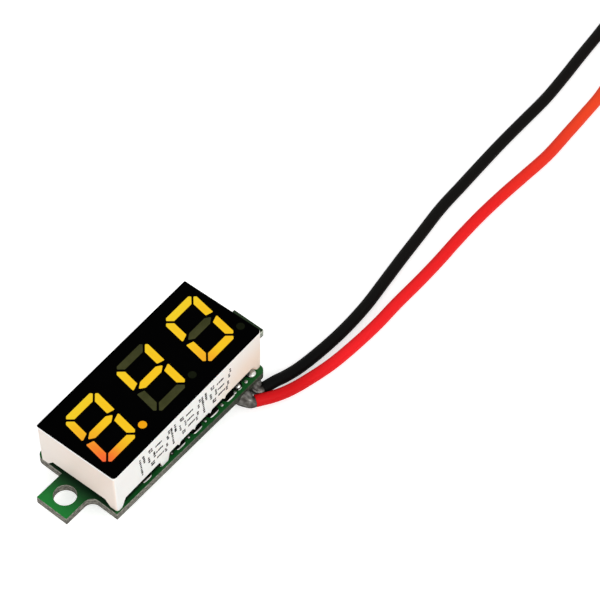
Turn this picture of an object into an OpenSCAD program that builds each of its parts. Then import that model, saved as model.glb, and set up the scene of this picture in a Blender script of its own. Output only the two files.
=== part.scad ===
// Three-digit panel voltmeter module: a moulded LED display soldered to a small
// circuit board with two screw ears, the meter circuit under the board, and a
// pair of loose leads. +X runs along the module, towards the end with the leads,
// +Z points out of the display. The origin is the middle of the board on the
// surface that the cut pin ends stand on.

/* [Circuit board] */
// Length of the board between its two ears
board_l = 22.7; // [20.4:0.1:26]
// Width of the board
board_w = 10.8; // [10.8:0.1:14]
// Thickness of the board
board_t = 1; // [0.6:0.1:1.6]
// Length by which each ear stands out of the board
ear_l = 3.6; // [3.1:0.1:6]
// Width of an ear
ear_w = 3.95; // [3.4:0.05:6]
// Distance between the two screw holes
hole_pitch = 26; // [25.4:0.1:26.4]
// Diameter of the screw holes
hole_d = 2.4; // [1.6:0.1:2.6]
// Radius of the routed corner beside each ear
notch_r = 1; // [0.4:0.1:1.4]
// Radius of the two rounded corners of the board
board_corner_r = 0.75; // [0.3:0.05:1.2]
// Thickness of the copper pads, let into both faces
pad_t = 0.05; // [0.03:0.01:0.1]

/* [Display housing] */
// Distance of the display's ends from the board's ends
display_end_gap = 0.1; // [0.05:0.05:0.3]
// Width of the display
display_w = 10; // [9.6:0.1:10.2]
// Height of the display over the board
display_h = 6.1; // [5.6:0.1:8]
// Angle by which the display was soldered out of line
display_skew = 1.5; // [0:0.1:1.8]
// Thickness of the side walls
wall_t = 0.6; // [0.4:0.05:0.8]
// Radius of the two front corners
front_corner_r = 0.3; // [0.2:0.05:1]
// Radius of the two back corners
back_corner_r = 0.25; // [0.15:0.05:0.6]
// Height of the openings between the feet
foot_h = 1.1; // [0.6:0.1:1.4]
// Length of a foot along a long wall, at the board
foot_w = 0.4; // [0.3:0.05:1]
// Length of a foot along an end wall, at the board
end_foot_w = 0.7; // [0.4:0.05:1]
// Widening of a foot from the board to the wall
foot_slope = 0.9; // [0.3:0.05:1]
// Width of the middle tooth of each long wall, at the board
rib_w = 0.3; // [0.2:0.05:0.8]
// Widening of each side of the tooth from the board to the wall
rib_slope = 0.5; // [0.2:0.05:0.7]
// Distance of the middle teeth from the centre
rib_x = 4.3; // [3.4:0.05:4.6]
// Thickness of the black face
film_t = 0.1; // [0.05:0.01:0.2]
// Width of the white rim left round the black face
rim_w = 0.1; // [0.05:0.01:0.3]

/* [Figures] */
// Figure lit on the left
figure_1 = 8; // [0:1:9]
// Figure lit in the middle
figure_2 = 4; // [0:1:9]
// Figure lit on the right
figure_3 = 0; // [0:1:9]
// Figure that the lit point follows
point_after = 1; // [1:1:3]
// Distance of an outer figure's middle from the display's end
figure_end = 3.65; // [3.5:0.05:3.9]
// Height of a figure
figure_h = 6.9; // [6:0.1:7.4]
// Width of a figure, across its upright bars
figure_w = 4.8; // [4.2:0.1:5]
// Slant of the figures
slant = 10; // [0:1:12]
// Width of a bar
bar_t = 0.88; // [0.6:0.02:1]
// Gap between the mitred ends of two bars
bar_gap = 0.24; // [0.1:0.02:0.3]
// Cut of a figure's outer corners
bar_cut = 0.66; // [0.4:0.02:0.8]
// Height of the outer end of an upright bar over the middle line
bar_mid = 0.25; // [0.1:0.05:0.4]
// Gap between the middle bar and the inner ends of the upright bars
mid_gap = 0.1; // [0.06:0.01:0.2]
// Distance of the middle bar's tips from the figure's sides
mid_tip = 0.55; // [0.45:0.05:0.7]
// Length of the middle bar's tapered ends
mid_taper = 0.66; // [0.4:0.02:0.8]
// Diameter of a decimal point
point_d = 0.9; // [0.5:0.05:1]
// Place of a point beside the middle of its figure
point_x = 2.78; // [2.6:0.02:2.9]
// Place of a point below the middle of its figure
point_y = 3.02; // [2.8:0.02:3.2]

/* [Inside the display] */
// Thickness of the display's inner board
inner_board_t = 0.6; // [0.4:0.1:1]
// Depth of the potting under the inner board
potting_t = 1.4; // [0.8:0.1:1.6]
// Depth by which the potting stays below the wall's edge
potting_dip = 0.1; // [0:0.05:0.3]
// Side of an LED chip
chip_a = 0.28; // [0.2:0.02:0.36]
// Height of an LED chip
chip_h = 0.15; // [0.1:0.01:0.25]

/* [Display pins] */
// Distance of a row's outer pins from the display's ends
pin_end = 4.9; // [4.7:0.05:5]
// Distance of a pin's middle from the housing wall's inner face
pin_to_wall = 0.59; // [0.5:0.01:0.65]
// Width of a pin along the row
pin_w = 0.5; // [0.4:0.02:0.56]
// Thickness of a pin
pin_t = 0.26; // [0.2:0.02:0.4]
// Length by which the cut pins stand out under the board
stub_h = 2; // [1.8:0.1:2.6]
// Diameter of the plated pin holes
pin_hole_d = 0.9; // [0.85:0.05:1.1]
// Width of an oval pin pad
pad_w = 1.6; // [1.4:0.05:1.7]
// Length of an oval pin pad
pad_l = 2.2; // [1.8:0.05:2.4]
// Diameter of the round pin pads on the underside
under_pad_d = 1.5; // [1.3:0.05:1.55]
// Height of the solder cone under a pin pad
cone_h = 0.9; // [0.5:0.1:1.2]
// Diameter of the solder cone at its tip
cone_tip_d = 0.7; // [0.62:0.02:0.8]
// Depth by which the solder stays below the board's top
solder_dip = 0.15; // [0.1:0.05:0.3]
// Diameter of the tinned vias along the board's edges
via_d = 0.4; // [0.3:0.05:0.45]
// Distance of the vias from the board's edge
via_edge = 0.6; // [0.4:0.05:0.7]

/* [Meter circuit] */
// Length of the microcontroller's body
mcu_l = 9.9; // [9.6:0.1:10.4]
// Gap between the tips of its leads and the pin pads
mcu_room = 0.11; // [0.08:0.01:0.2]
// Height of the microcontroller's body
mcu_h = 1.4; // [1:0.1:1.5]
// Reach of its leads past the body
mcu_lead_out = 1; // [0.7:0.05:1.2]
// Number of its leads on each side
mcu_leads_n = 8; // [4:1:8]
// Distance from lead to lead
mcu_pitch = 1.27; // [1.2:0.01:1.3]
// Gap between a chip's body and the board
chip_lift = 0.1; // [0.05:0.01:0.15]
// Length of the voltage regulator's body
reg_l = 2.9; // [2.7:0.1:3]
// Width of the voltage regulator's body
reg_w = 1.3; // [1.2:0.1:1.5]
// Height of the voltage regulator's body
reg_h = 1; // [0.8:0.1:1.2]
// Width over the tips of its leads
reg_span = 2.4; // [2.3:0.1:2.8]
// Distance between the two leads on one side
reg_pitch = 1.9; // [1.8:0.05:2]
// Length of the diode's body
diode_l = 2.7; // [2.5:0.1:2.9]
// Width of the diode's body
diode_w = 1.6; // [1.4:0.1:1.8]
// Height of the diode's body
diode_h = 1.1; // [0.9:0.1:1.3]
// Length over the diode's leads
diode_span = 3.6; // [3.4:0.1:3.7]
// Length of a capacitor
cap_l = 2; // [1.6:0.1:2.2]
// Width of a capacitor
cap_w = 1.25; // [1:0.05:1.4]
// Height of a capacitor
cap_h = 1; // [0.7:0.05:1.3]
// Length of a capacitor's end caps
cap_end = 0.4; // [0.25:0.05:0.5]
// Length of a resistor
res_l = 1.6; // [1.4:0.1:1.8]
// Width of a resistor
res_w = 0.8; // [0.6:0.05:0.9]
// Height of a resistor
res_h = 0.45; // [0.35:0.05:0.6]
// Length of a resistor's end caps
res_end = 0.3; // [0.2:0.05:0.4]

/* [Calibration trimmer] */
// Side of the trimmer's ceramic base
trim_a = 3.1; // [3:0.1:3.4]
// Thickness of the ceramic base
trim_t = 0.5; // [0.4:0.05:0.6]
// Diameter of the rotor
rotor_d = 2.5; // [2.2:0.1:2.8]
// Thickness of the rotor
rotor_t = 0.5; // [0.4:0.05:0.6]
// Diameter of the pivot that the rotor turns on
pivot_d = 0.8; // [0.6:0.05:0.9]
// Diameter of the pivot's riveted head
pivot_head_d = 1.2; // [1.1:0.05:1.3]
// Thickness of the pivot's riveted head
pivot_head_t = 0.14; // [0.1:0.02:0.2]
// Running clearance round and beside the rotor
rotor_gap = 0.05; // [0.02:0.01:0.08]
// Width of the screwdriver cross
cross_w = 0.5; // [0.3:0.05:0.6]
// Depth of the screwdriver cross
cross_t = 0.25; // [0.15:0.05:0.3]

/* [Leads] */
// Diameter of a lead over its insulation
lead_d = 1.3; // [1:0.05:1.3]
// Diameter of its tinned conductor
core_d = 0.6; // [0.4:0.05:0.7]
// Diameter of the plated holes for the leads
wire_hole_d = 0.8; // [0.7:0.05:0.9]
// Diameter of the round pads for the leads
wire_pad_d = 1.2; // [1.05:0.05:1.25]
// Height of the solder mound on a lead's pad
mound_h = 0.8; // [0.6:0.05:1]
// Height of the solder button over the board
button_h = 0.25; // [0.15:0.05:0.3]
// Length of the bare end of a lead
tail_l = 5; // [3:0.5:6]
// Middle radius of a coil's outer turn
coil_r = 7; // [6.6:0.1:7.2]
// Width of the ring that a coil's turns fill
coil_w = 3.9; // [2.7:0.1:4.3]

/* [Hidden] */
$fn = 48;
eps = 0.01;

// Levels, from the surface that the pins stand on
board_z = stub_h;
top_z = board_z + board_t;
wall_z = top_z + foot_h;
potting_z = wall_z + potting_dip;
inner_z = potting_z + potting_t;
well_z = inner_z + inner_board_t;
film_z = top_z + display_h - film_t;
face_z = top_z + display_h;

// The display is as long as the board lets it be, and its pins and figures
// keep their distance from its ends
display_l = board_l - 2 * display_end_gap;
pins_per_row = 6;
pin_pitch = (display_l - 2 * pin_end) / (pins_per_row - 1);
figure_pitch = (display_l - 2 * figure_end) / 2;

// The pin rows stand just inside the housing's long walls, and the
// microcontroller lies between the rows' pads
pin_rows = display_w - 2 * (wall_t + pin_to_wall);
mcu_span = pin_rows - under_pad_d - 2 * mcu_room;
mcu_w = mcu_span - 2 * mcu_lead_out;

// Plan of the board
wire_pad_edge = 1;
wire_pad_y = -board_w / 2 + wire_pad_edge;
wire_pad_pitch = 2.1;

// Parts at the two ends of the board, beside the pin rows
end_inset = 2;
left_x = -board_l / 2 + end_inset;
right_x = board_l / 2 - end_inset;
// The lead pads lie this far inside the parts of the right end
wire_pads_in = 0.5;
wire_pads_x = right_x - wire_pads_in;
red_pad_x = wire_pads_x - wire_pad_pitch / 2;
black_pad_x = wire_pads_x + wire_pad_pitch / 2;
last_pin_x = (pins_per_row - 1) / 2 * pin_pitch;
// Vias between the pins, and between the pads of the leads
back_via_x = [for (i = [-2 : 2]) i * pin_pitch];
front_via_x = [for (i = [-1 : 2]) i * pin_pitch, (last_pin_x + red_pad_x) / 2, wire_pads_x];
trim_y = 3;
cap_1_y = 0.3;
res_left_y = [-1.3, -2.8, -4.3];
reg_y = 3.55;
diode_y = 1.2;
cap_2_y = -0.9;
res_right_y = -2.4;
part_pad = 0.25;
// What solder leaves bare round the rim of its pad, across the pad
solder_rim = 0.1;

// The sides of a figure
figure_hx = figure_w / 2;
figure_hy = figure_h / 2;
bar_in_x = figure_hx - bar_t;
bar_in_y = figure_hy - bar_t;
mitre = bar_gap / sqrt(2);
// Bars lit for each figure from 0 to 9: top, upper right, lower right, bottom,
// lower left, upper left and middle
LIT = [[1, 1, 1, 1, 1, 1, 0], [0, 1, 1, 0, 0, 0, 0], [1, 1, 0, 1, 1, 0, 1],
    [1, 1, 1, 1, 0, 0, 1], [0, 1, 1, 0, 0, 1, 1], [1, 0, 1, 1, 0, 1, 1],
    [1, 0, 1, 1, 1, 1, 1], [1, 1, 1, 0, 0, 0, 0], [1, 1, 1, 1, 1, 1, 1],
    [1, 1, 1, 1, 0, 1, 1]];
figures = [figure_1, figure_2, figure_3];

// Routes of the leads, along the surface to their coils
red_route = [[8.7, -6.5, 1.35], [10.2, -7.35, 1.2], [12, -8, 0.95], [14.3, -8.5, 0.7],
    [17.5, -9.1, 0.65], [21, -9.4, 0.65], [24.5, -9.5, 0.65], [28, -9.4, 0.65],
    [32, -9.4, 0.65], [35.5, -9.3, 0.65], [39, -9.1, 0.65], [43, -9, 0.65],
    [47, -9.1, 0.65], [50.5, -9.3, 0.65], [54.5, -9.5, 0.65], [58.5, -9.3, 0.65],
    [62, -9.1, 0.65], [65.3, -8.85, 0.65], [68.5, -8.2, 0.65], [71.5, -7, 0.65],
    [74.5, -5.4, 0.65], [77.6, -4.3, 0.65], [81, -3.9, 0.65]];
black_route = [[10.4, -6, 1.35], [11.7, -6.3, 1.3], [13.1, -6.6, 1], [15.2, -6.9, 0.7],
    [18.5, -7.2, 0.65], [22, -7.3, 0.65], [25.7, -7.1, 0.65], [29.4, -6.6, 0.65],
    [33, -6.1, 0.65], [37, -5.6, 0.65], [41, -5.1, 0.65], [45, -4.9, 0.65],
    [49, -4.7, 0.65], [53, -4.55, 0.65], [57, -4.5, 0.65], [61, -4.45, 0.65],
    [65, -4.1, 0.65], [69, -3.65, 0.65], [73, -3.25, 0.65], [77, -2.7, 0.65],
    [81.5, -1.7, 0.65], [86.5, -0.8, 0.65], [91.5, -0.3, 0.65], [96.3, -0.2, 0.65]];
red_coil_xy = coil_xy(red_route);
black_coil_xy = coil_xy(black_route);
red_tail_angle = 15;
black_tail_angle = 179;
tail_bend_r = 3.2;

// ---- plan shapes

// A rectangle with two front and two back corners of their own radius
module rounded_plan(l, w, front_r, back_r) {
    difference() {
        square([l, w], center = true);
        for (sx = [-1, 1]) {
            corner_waste(sx * l / 2, -w / 2, -sx, 1, front_r);
            corner_waste(sx * l / 2, w / 2, -sx, -1, back_r);
        }
    }
}

// What rounding a corner at x, y takes off; dx and dy point into the plate
module corner_waste(x, y, dx, dy, r) {
    translate([x, y])
        mirror([dx < 0 ? 1 : 0, 0])
            mirror([0, dy < 0 ? 1 : 0])
                difference() {
                    translate([-eps, -eps]) square(r + eps);
                    translate([r, r]) circle(r);
                }
}

// The board with its ears; each half is the other turned round
module board_plan() {
    difference() {
        square([board_l, board_w], center = true);
        for (turn = [0, 180]) rotate(turn)
            corner_waste(board_l / 2, -board_w / 2, -1, 1, board_corner_r);
    }
    for (turn = [0, 180]) rotate(turn) {
        translate([board_l / 2 - eps, -ear_w / 2]) square([ear_l + eps, ear_w]);
        // the routed inner corner
        translate([board_l / 2 - eps, ear_w / 2 - eps])
            difference() {
                square(notch_r + eps);
                translate([notch_r + eps, notch_r + eps]) circle(notch_r);
            }
    }
}

module stadium(w, l) {
    if (l > w) square([w, l - w], center = true);
    for (s = [-1, 1]) translate([0, s * (l - w) / 2]) circle(d = w);
}

// ---- places

module at_pins() {
    for (side = [-1, 1], i = [0 : pins_per_row - 1])
        translate([i * pin_pitch - last_pin_x, side * pin_rows / 2, 0]) children();
}

module at_vias() {
    via_y = board_w / 2 - via_edge;
    for (x = front_via_x) translate([x, -via_y, 0]) children();
    for (x = back_via_x) translate([x, via_y, 0]) children();
}

module at_wire_pads() {
    for (x = [red_pad_x, black_pad_x]) translate([x, wire_pad_y, 0]) children();
}

module at_screw_holes() {
    for (s = [-1, 1]) translate([s * hole_pitch / 2, 0, 0]) children();
}

// Stands its children on the underside of the board, heads down
module under(x = 0, y = 0, turn = 0) {
    translate([x, y, board_z]) mirror([0, 0, 1]) rotate(turn) children();
}

module display_frame() {
    rotate(display_skew) children();
}

module at_capacitors() {
    under(left_x, cap_1_y) children();
    under(right_x, cap_2_y) children();
}

module at_resistors() {
    for (y = res_left_y) under(left_x, y) children();
    under(right_x, res_right_y) children();
}

// ---- circuit board

// Oval pads on the top of the board, and round ones underneath
module pin_pads(z, w, l) {
    at_pins() translate([0, 0, z]) linear_extrude(pad_t)
        difference() {
            stadium(w, l);
            circle(d = pin_hole_d);
        }
}

module top_pin_pads() {
    pin_pads(top_z - pad_t, pad_w, pad_l);
}

module bottom_pin_pads() {
    pin_pads(board_z, under_pad_d, under_pad_d);
}

module wire_pads(z) {
    at_wire_pads() translate([0, 0, z]) linear_extrude(pad_t)
        difference() {
            circle(d = wire_pad_d);
            circle(d = wire_hole_d);
        }
}

// Two pads for a part with two ends, each a little longer than the end
module end_pads(l, w, end) {
    for (s = [-1, 1]) translate([s * (l / 2 - end / 2 + part_pad / 2), 0])
        square([end + part_pad, w + part_pad], center = true);
}

module part_pads_plan() {
    for (side = [-1, 1], i = [0 : mcu_leads_n - 1])
        translate([mcu_lead_x(i), side * (mcu_span - mcu_foot) / 2])
            square([mcu_lead_w, mcu_foot], center = true);
    for (p = [[left_x, cap_1_y], [right_x, cap_2_y]]) translate(p) end_pads(cap_l, cap_w, cap_end);
    for (y = res_left_y) translate([left_x, y]) end_pads(res_l, res_w, res_end);
    translate([right_x, res_right_y]) end_pads(res_l, res_w, res_end);
    translate([right_x, diode_y]) end_pads(diode_span, diode_w / 2, diode_foot);
    for (p = reg_lead_places) translate([right_x + p[0], reg_y + p[1] * (reg_span - reg_foot) / 2])
        square([reg_lead_w, reg_foot], center = true);
    for (p = trim_terminal_places) translate([left_x + p[0], trim_y + p[1]])
        square([trim_terminal_w, trim_terminal_out * 2], center = true);
}

module part_pads() {
    translate([0, 0, board_z]) linear_extrude(pad_t) part_pads_plan();
}

module circuit_board() {
    color([0.05, 0.42, 0.17])
        difference() {
            translate([0, 0, board_z]) linear_extrude(board_t) board_plan();
            bottom_pin_pads();
            top_pin_pads();
            wire_pads(board_z);
            wire_pads(top_z - pad_t);
            part_pads();
            translate([0, 0, board_z - eps]) {
                at_screw_holes() cylinder(d = hole_d, h = board_t + 2 * eps);
                at_pins() cylinder(d = pin_hole_d, h = board_t + 2 * eps);
                at_wire_pads() cylinder(d = wire_hole_d, h = board_t + 2 * eps);
                at_vias() cylinder(d = via_d, h = board_t + 2 * eps);
            }
        }
}

module top_pads() {
    color([0.83, 0.82, 0.78]) {
        top_pin_pads();
        wire_pads(top_z - pad_t);
    }
}

module bottom_pads() {
    color([0.83, 0.82, 0.78]) {
        bottom_pin_pads();
        wire_pads(board_z);
        part_pads();
    }
}

module vias() {
    color([0.8, 0.8, 0.78])
        at_vias() translate([0, 0, board_z]) cylinder(d = via_d, h = board_t);
}

// ---- display

// The opening between two feet of one wall, seen along Y
module foot_opening(half) {
    translate([0, display_w, top_z]) rotate([90, 0, 0])
        linear_extrude(2 * display_w)
            polygon([[-half, -eps], [half, -eps], [half - foot_slope, foot_h],
                [-half + foot_slope, foot_h]]);
}

// The tooth that each long wall keeps in its opening
module wall_tooth() {
    for (turn = [0, 180]) rotate(turn)
        translate([-rib_x, -display_w / 2 + wall_t, top_z]) rotate([90, 0, 0])
            linear_extrude(wall_t)
                polygon([[-rib_w / 2, 0], [rib_w / 2, 0],
                    [rib_w / 2 + rib_slope, foot_h + eps],
                    [-rib_w / 2 - rib_slope, foot_h + eps]]);
}

module display_housing() {
    color([0.95, 0.94, 0.92]) display_frame() {
        difference() {
            translate([0, 0, top_z]) linear_extrude(display_h - film_t)
                rounded_plan(display_l, display_w, front_corner_r, back_corner_r);
            translate([0, 0, top_z - eps]) linear_extrude(well_z - top_z + eps)
                square([display_l - 2 * wall_t, display_w - 2 * wall_t], center = true);
            foot_opening(display_l / 2 - foot_w);
            rotate(90) foot_opening(display_w / 2 - end_foot_w);
            bars(well_z - eps, film_z + eps, 1);
            bars(well_z - eps, film_z + eps, 0);
            points(well_z - eps, film_z + eps, 1);
            points(well_z - eps, film_z + eps, 0);
        }
        wall_tooth();
    }
}

module face_film() {
    color([0.03, 0.03, 0.03]) display_frame()
        difference() {
            translate([0, 0, film_z]) linear_extrude(film_t)
                rounded_plan(display_l - 2 * rim_w, display_w - 2 * rim_w,
                    front_corner_r - rim_w, back_corner_r - rim_w);
            bars(film_z - eps, face_z + eps, 1);
            bars(film_z - eps, face_z + eps, 0);
            points(film_z - eps, face_z + eps, 1);
            points(film_z - eps, face_z + eps, 0);
        }
}

// One bar of an upright figure: 0 top, 1 upper right, 2 lower right, 3 bottom,
// 4 lower left, 5 upper left, 6 middle
function level_bar(s) = let (tip = [figure_hx - (bar_cut + mitre) / 2,
        s * (figure_hy - (bar_cut - mitre) / 2)])
    [[-figure_hx + bar_cut, s * figure_hy], [figure_hx - bar_cut, s * figure_hy], tip,
        [bar_in_x - mitre, s * bar_in_y], [-bar_in_x + mitre, s * bar_in_y], [-tip[0], tip[1]]];
function upright_bar(sx, sy) = [[sx * figure_hx, sy * (figure_hy - bar_cut)],
    [sx * figure_hx, sy * bar_mid], [sx * bar_in_x, sy * (bar_t / 2 + mid_gap)],
    [sx * bar_in_x, sy * (bar_in_y - mitre)],
    [sx * (figure_hx - (bar_cut - mitre) / 2), sy * (figure_hy - (bar_cut + mitre) / 2)]];
function middle_bar() = let (tip = figure_hx - mid_tip, flat = tip - mid_taper)
    [[tip, 0], [flat, bar_t / 2], [-flat, bar_t / 2], [-tip, 0], [-flat, -bar_t / 2],
        [flat, -bar_t / 2]];
function bar(i) = i == 0 ? level_bar(1) : i == 1 ? upright_bar(1, 1) : i == 2 ? upright_bar(1, -1)
    : i == 3 ? level_bar(-1) : i == 4 ? upright_bar(-1, -1) : i == 5 ? upright_bar(-1, 1)
    : middle_bar();
function slanted(pts) = [for (p = pts) [p[0] + p[1] * tan(slant), p[1]]];
function middle_of(pts) = [for (k = [0, 1]) [for (p = pts) p[k]] * [for (p = pts) 1] / len(pts)];
function figure_x(d) = (d - 1) * figure_pitch;
function is_lit(d, i) = LIT[figures[d]][i];

// The bars from level z0 to level z1 that are lit (1) or dark (0)
module bars(z0, z1, lit) {
    for (d = [0 : 2], i = [0 : 6])
        if (is_lit(d, i) == lit)
            translate([figure_x(d), 0, z0]) linear_extrude(z1 - z0) polygon(slanted(bar(i)));
}

module points(z0, z1, lit) {
    for (d = [0 : 2])
        if ((d == point_after - 1 ? 1 : 0) == lit)
            translate([figure_x(d) + point_x, -point_y, z0]) cylinder(d = point_d, h = z1 - z0);
}

// The chips stand on the inner board, one under each bar and point
module chips() {
    for (d = [0 : 2]) {
        for (i = [0 : 6]) chip(figure_x(d), slanted([middle_of(bar(i))])[0]);
        chip(figure_x(d), [point_x, -point_y]);
    }
}

module chip(x, p) {
    translate([x + p[0] - chip_a / 2, p[1] - chip_a / 2, well_z]) cube([chip_a, chip_a, chip_h]);
}

// Tinted resin that fills each well, over its chip
module lit_bars() {
    color([1, 0.82, 0.15]) display_frame()
        difference() {
            bars(well_z, face_z, 1);
            chips();
        }
}

module dark_bars() {
    color([0.24, 0.25, 0.16]) display_frame()
        difference() {
            bars(well_z, face_z, 0);
            chips();
        }
}

module lit_point() {
    color([1, 0.7, 0.15]) display_frame()
        difference() {
            points(well_z, face_z, 1);
            chips();
        }
}

module dark_points() {
    color([0.24, 0.25, 0.16]) display_frame()
        difference() {
            points(well_z, face_z, 0);
            chips();
        }
}

module led_chips() {
    color([0.75, 0.7, 0.5]) display_frame() chips();
}

// A slab that fills the housing's pocket between two levels, round the pins
module pocket_slab(z0, z1) {
    difference() {
        translate([0, 0, z0]) linear_extrude(z1 - z0)
            square([display_l - 2 * wall_t, display_w - 2 * wall_t], center = true);
        pins();
    }
}

module inner_board() {
    color([0.85, 0.83, 0.7]) display_frame() pocket_slab(inner_z, well_z);
}

module potting() {
    color([0.55, 0.5, 0.42]) display_frame() pocket_slab(potting_z, inner_z);
}

module pins() {
    at_pins() translate([-pin_w / 2, -pin_t / 2, 0]) cube([pin_w, pin_t, inner_z + inner_board_t / 2]);
}

module display_pins() {
    color([0.75, 0.75, 0.73]) display_frame() pins();
}

module pin_solder() {
    color([0.78, 0.78, 0.78])
        difference() {
            at_pins() {
                translate([0, 0, board_z]) cylinder(d = pin_hole_d, h = board_t - solder_dip);
                translate([0, 0, board_z - cone_h])
                    cylinder(d1 = cone_tip_d, d2 = under_pad_d - solder_rim, h = cone_h);
            }
            display_frame() pins();
        }
}

// ---- meter circuit

lead_t = 0.12;
// A lead's foot on its pad takes this share of its reach past the body
foot_share = 0.5;
mcu_foot = (mcu_span - mcu_w) / 2 * foot_share;
reg_foot = (reg_span - reg_w) / 2 * foot_share;
diode_foot = (diode_span - diode_l) / 2 * foot_share;
mcu_lead_w = 0.42;
reg_lead_w = 0.42;
reg_lead_places = [[-reg_pitch / 2, -1], [reg_pitch / 2, -1], [0, 1]];
body_bevel = 0.12;
function mcu_lead_x(i) = (i - (mcu_leads_n - 1) / 2) * mcu_pitch;

// A moulded chip body with sloped long sides, standing on chip_lift
module chip_body(l, w, h) {
    rotate([90, 0, 90]) translate([0, chip_lift, -l / 2]) linear_extrude(l)
        polygon([[-w / 2 + body_bevel, 0], [w / 2 - body_bevel, 0], [w / 2, h / 2],
            [w / 2 - body_bevel, h], [-w / 2 + body_bevel, h], [-w / 2, h / 2]]);
}

// A gull-wing lead in the +Y direction, from the body's side to the tip
module gull_lead(half_w, half_span, h, lead_w) {
    mid = chip_lift + h / 2;
    knee = half_span - (half_span - half_w) * foot_share;
    rotate([90, 0, 90]) translate([0, 0, -lead_w / 2]) linear_extrude(lead_w)
        polygon([[half_w, mid + lead_t / 2], [knee - lead_t / 2, mid + lead_t / 2],
            [knee + lead_t, lead_t], [half_span, lead_t], [half_span, 0], [knee, 0],
            [knee - lead_t - lead_t / 2, mid - lead_t / 2], [half_w, mid - lead_t / 2]]);
}

module microcontroller() {
    color([0.09, 0.09, 0.1]) under()
        difference() {
            chip_body(mcu_l, mcu_w, mcu_h);
            translate([-mcu_l / 2 + 1, -mcu_w / 2 + 0.9, chip_lift + mcu_h - 0.1])
                cylinder(d = 0.8, h = 0.2);
        }
}

module microcontroller_leads() {
    color([0.8, 0.8, 0.8]) under()
        for (i = [0 : mcu_leads_n - 1], turn = [0, 180])
            rotate(turn) translate([mcu_lead_x(i), 0, 0])
                gull_lead(mcu_w / 2, mcu_span / 2, mcu_h, mcu_lead_w);
}

module regulator() {
    color([0.1, 0.1, 0.1]) under(right_x, reg_y) chip_body(reg_l, reg_w, reg_h);
}

module regulator_leads() {
    color([0.8, 0.8, 0.8]) under(right_x, reg_y)
        for (p = reg_lead_places)
            mirror([0, p[1] < 0 ? 1 : 0]) translate([p[0], 0, 0])
                gull_lead(reg_w / 2, reg_span / 2, reg_h, reg_lead_w);
}

module diode() {
    color([0.12, 0.12, 0.12]) under(right_x, diode_y, 90)
        chip_body(diode_w, diode_l, diode_h);
}

module diode_leads() {
    color([0.8, 0.8, 0.8]) under(right_x, diode_y)
        for (turn = [90, 270]) rotate(turn)
            gull_lead(diode_l / 2, diode_span / 2, diode_h, diode_w / 2);
}

module block(l, w, h) {
    translate([-l / 2, -w / 2, 0]) cube([l, w, h]);
}

module end_caps(l, w, h, end) {
    for (s = [-1, 1]) translate([s * (l - end) / 2, 0, 0]) block(end, w, h);
}

module capacitors() {
    color([0.62, 0.5, 0.36]) at_capacitors() block(cap_l - 2 * cap_end, cap_w, cap_h);
}

module capacitor_ends() {
    color([0.8, 0.8, 0.8]) at_capacitors() end_caps(cap_l, cap_w, cap_h, cap_end);
}

module resistors() {
    color([0.1, 0.1, 0.12]) at_resistors() block(res_l - 2 * res_end, res_w, res_h);
}

module resistor_ends() {
    color([0.8, 0.8, 0.8]) at_resistors() end_caps(res_l, res_w, res_h, res_end);
}

// ---- calibration trimmer

trim_terminal_w = 0.9;
trim_terminal_out = 0.35;
trim_terminal_places = [[-1, -trim_a / 2], [1, -trim_a / 2], [0, trim_a / 2]];
rotor_z = trim_t + rotor_gap;
head_z = rotor_z + rotor_t + rotor_gap;

module trimmer_base() {
    color([0.9, 0.89, 0.86]) under(left_x, trim_y) {
        difference() {
            block(trim_a, trim_a, trim_t);
            terminal_blocks();
        }
        translate([0, 0, trim_t - eps]) cylinder(d = pivot_d, h = head_z - trim_t + eps);
        translate([0, 0, head_z]) cylinder(d = pivot_head_d, h = pivot_head_t);
    }
}

module terminal_blocks() {
    for (p = trim_terminal_places) translate([p[0], p[1], 0])
        block(trim_terminal_w, 2 * trim_terminal_out, trim_t * 0.6);
}

module trimmer_terminals() {
    color([0.8, 0.8, 0.8]) under(left_x, trim_y) terminal_blocks();
}

module trimmer_rotor() {
    color([0.72, 0.7, 0.66]) under(left_x, trim_y) translate([0, 0, rotor_z])
        difference() {
            cylinder(d = rotor_d, h = rotor_t);
            translate([0, 0, -eps]) cylinder(d = pivot_d + 2 * rotor_gap, h = rotor_t + 2 * eps);
            for (turn = [0, 90]) rotate(turn)
                translate([-rotor_d / 2 - eps, -cross_w / 2, rotor_t - cross_t])
                    cube([rotor_d + 2 * eps, cross_w, cross_t + eps]);
        }
}

// ---- leads

module rod(a, b, d) {
    v = b - a;
    flat = norm([v[0], v[1]]);
    translate(a) rotate([0, atan2(flat, v[2]), atan2(v[1], v[0])]) cylinder(d = d, h = norm(v));
}

// The conductor runs from its pad to a little way inside the insulation
module core(pad_x, route) {
    start = [pad_x, wire_pad_y, board_z - core_d / 2];
    way = (route[1] - route[0]) / norm(route[1] - route[0]);
    rod(start, route[0] + way * core_d / 2, core_d);
}

module wire_solder() {
    color([0.78, 0.78, 0.78])
        difference() {
            at_wire_pads() {
                translate([0, 0, board_z - mound_h])
                    cylinder(d1 = wire_hole_d, d2 = wire_pad_d - solder_rim, h = mound_h);
                translate([0, 0, board_z]) cylinder(d = wire_hole_d, h = board_t);
                translate([0, 0, top_z])
                    cylinder(d1 = wire_pad_d - solder_rim, d2 = wire_hole_d, h = button_h);
            }
            core(red_pad_x, red_route);
            core(black_pad_x, black_route);
        }
}

module red_core() {
    color([0.75, 0.75, 0.75]) core(red_pad_x, red_route);
}

module black_core() {
    color([0.75, 0.75, 0.75]) core(black_pad_x, black_route);
}

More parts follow.
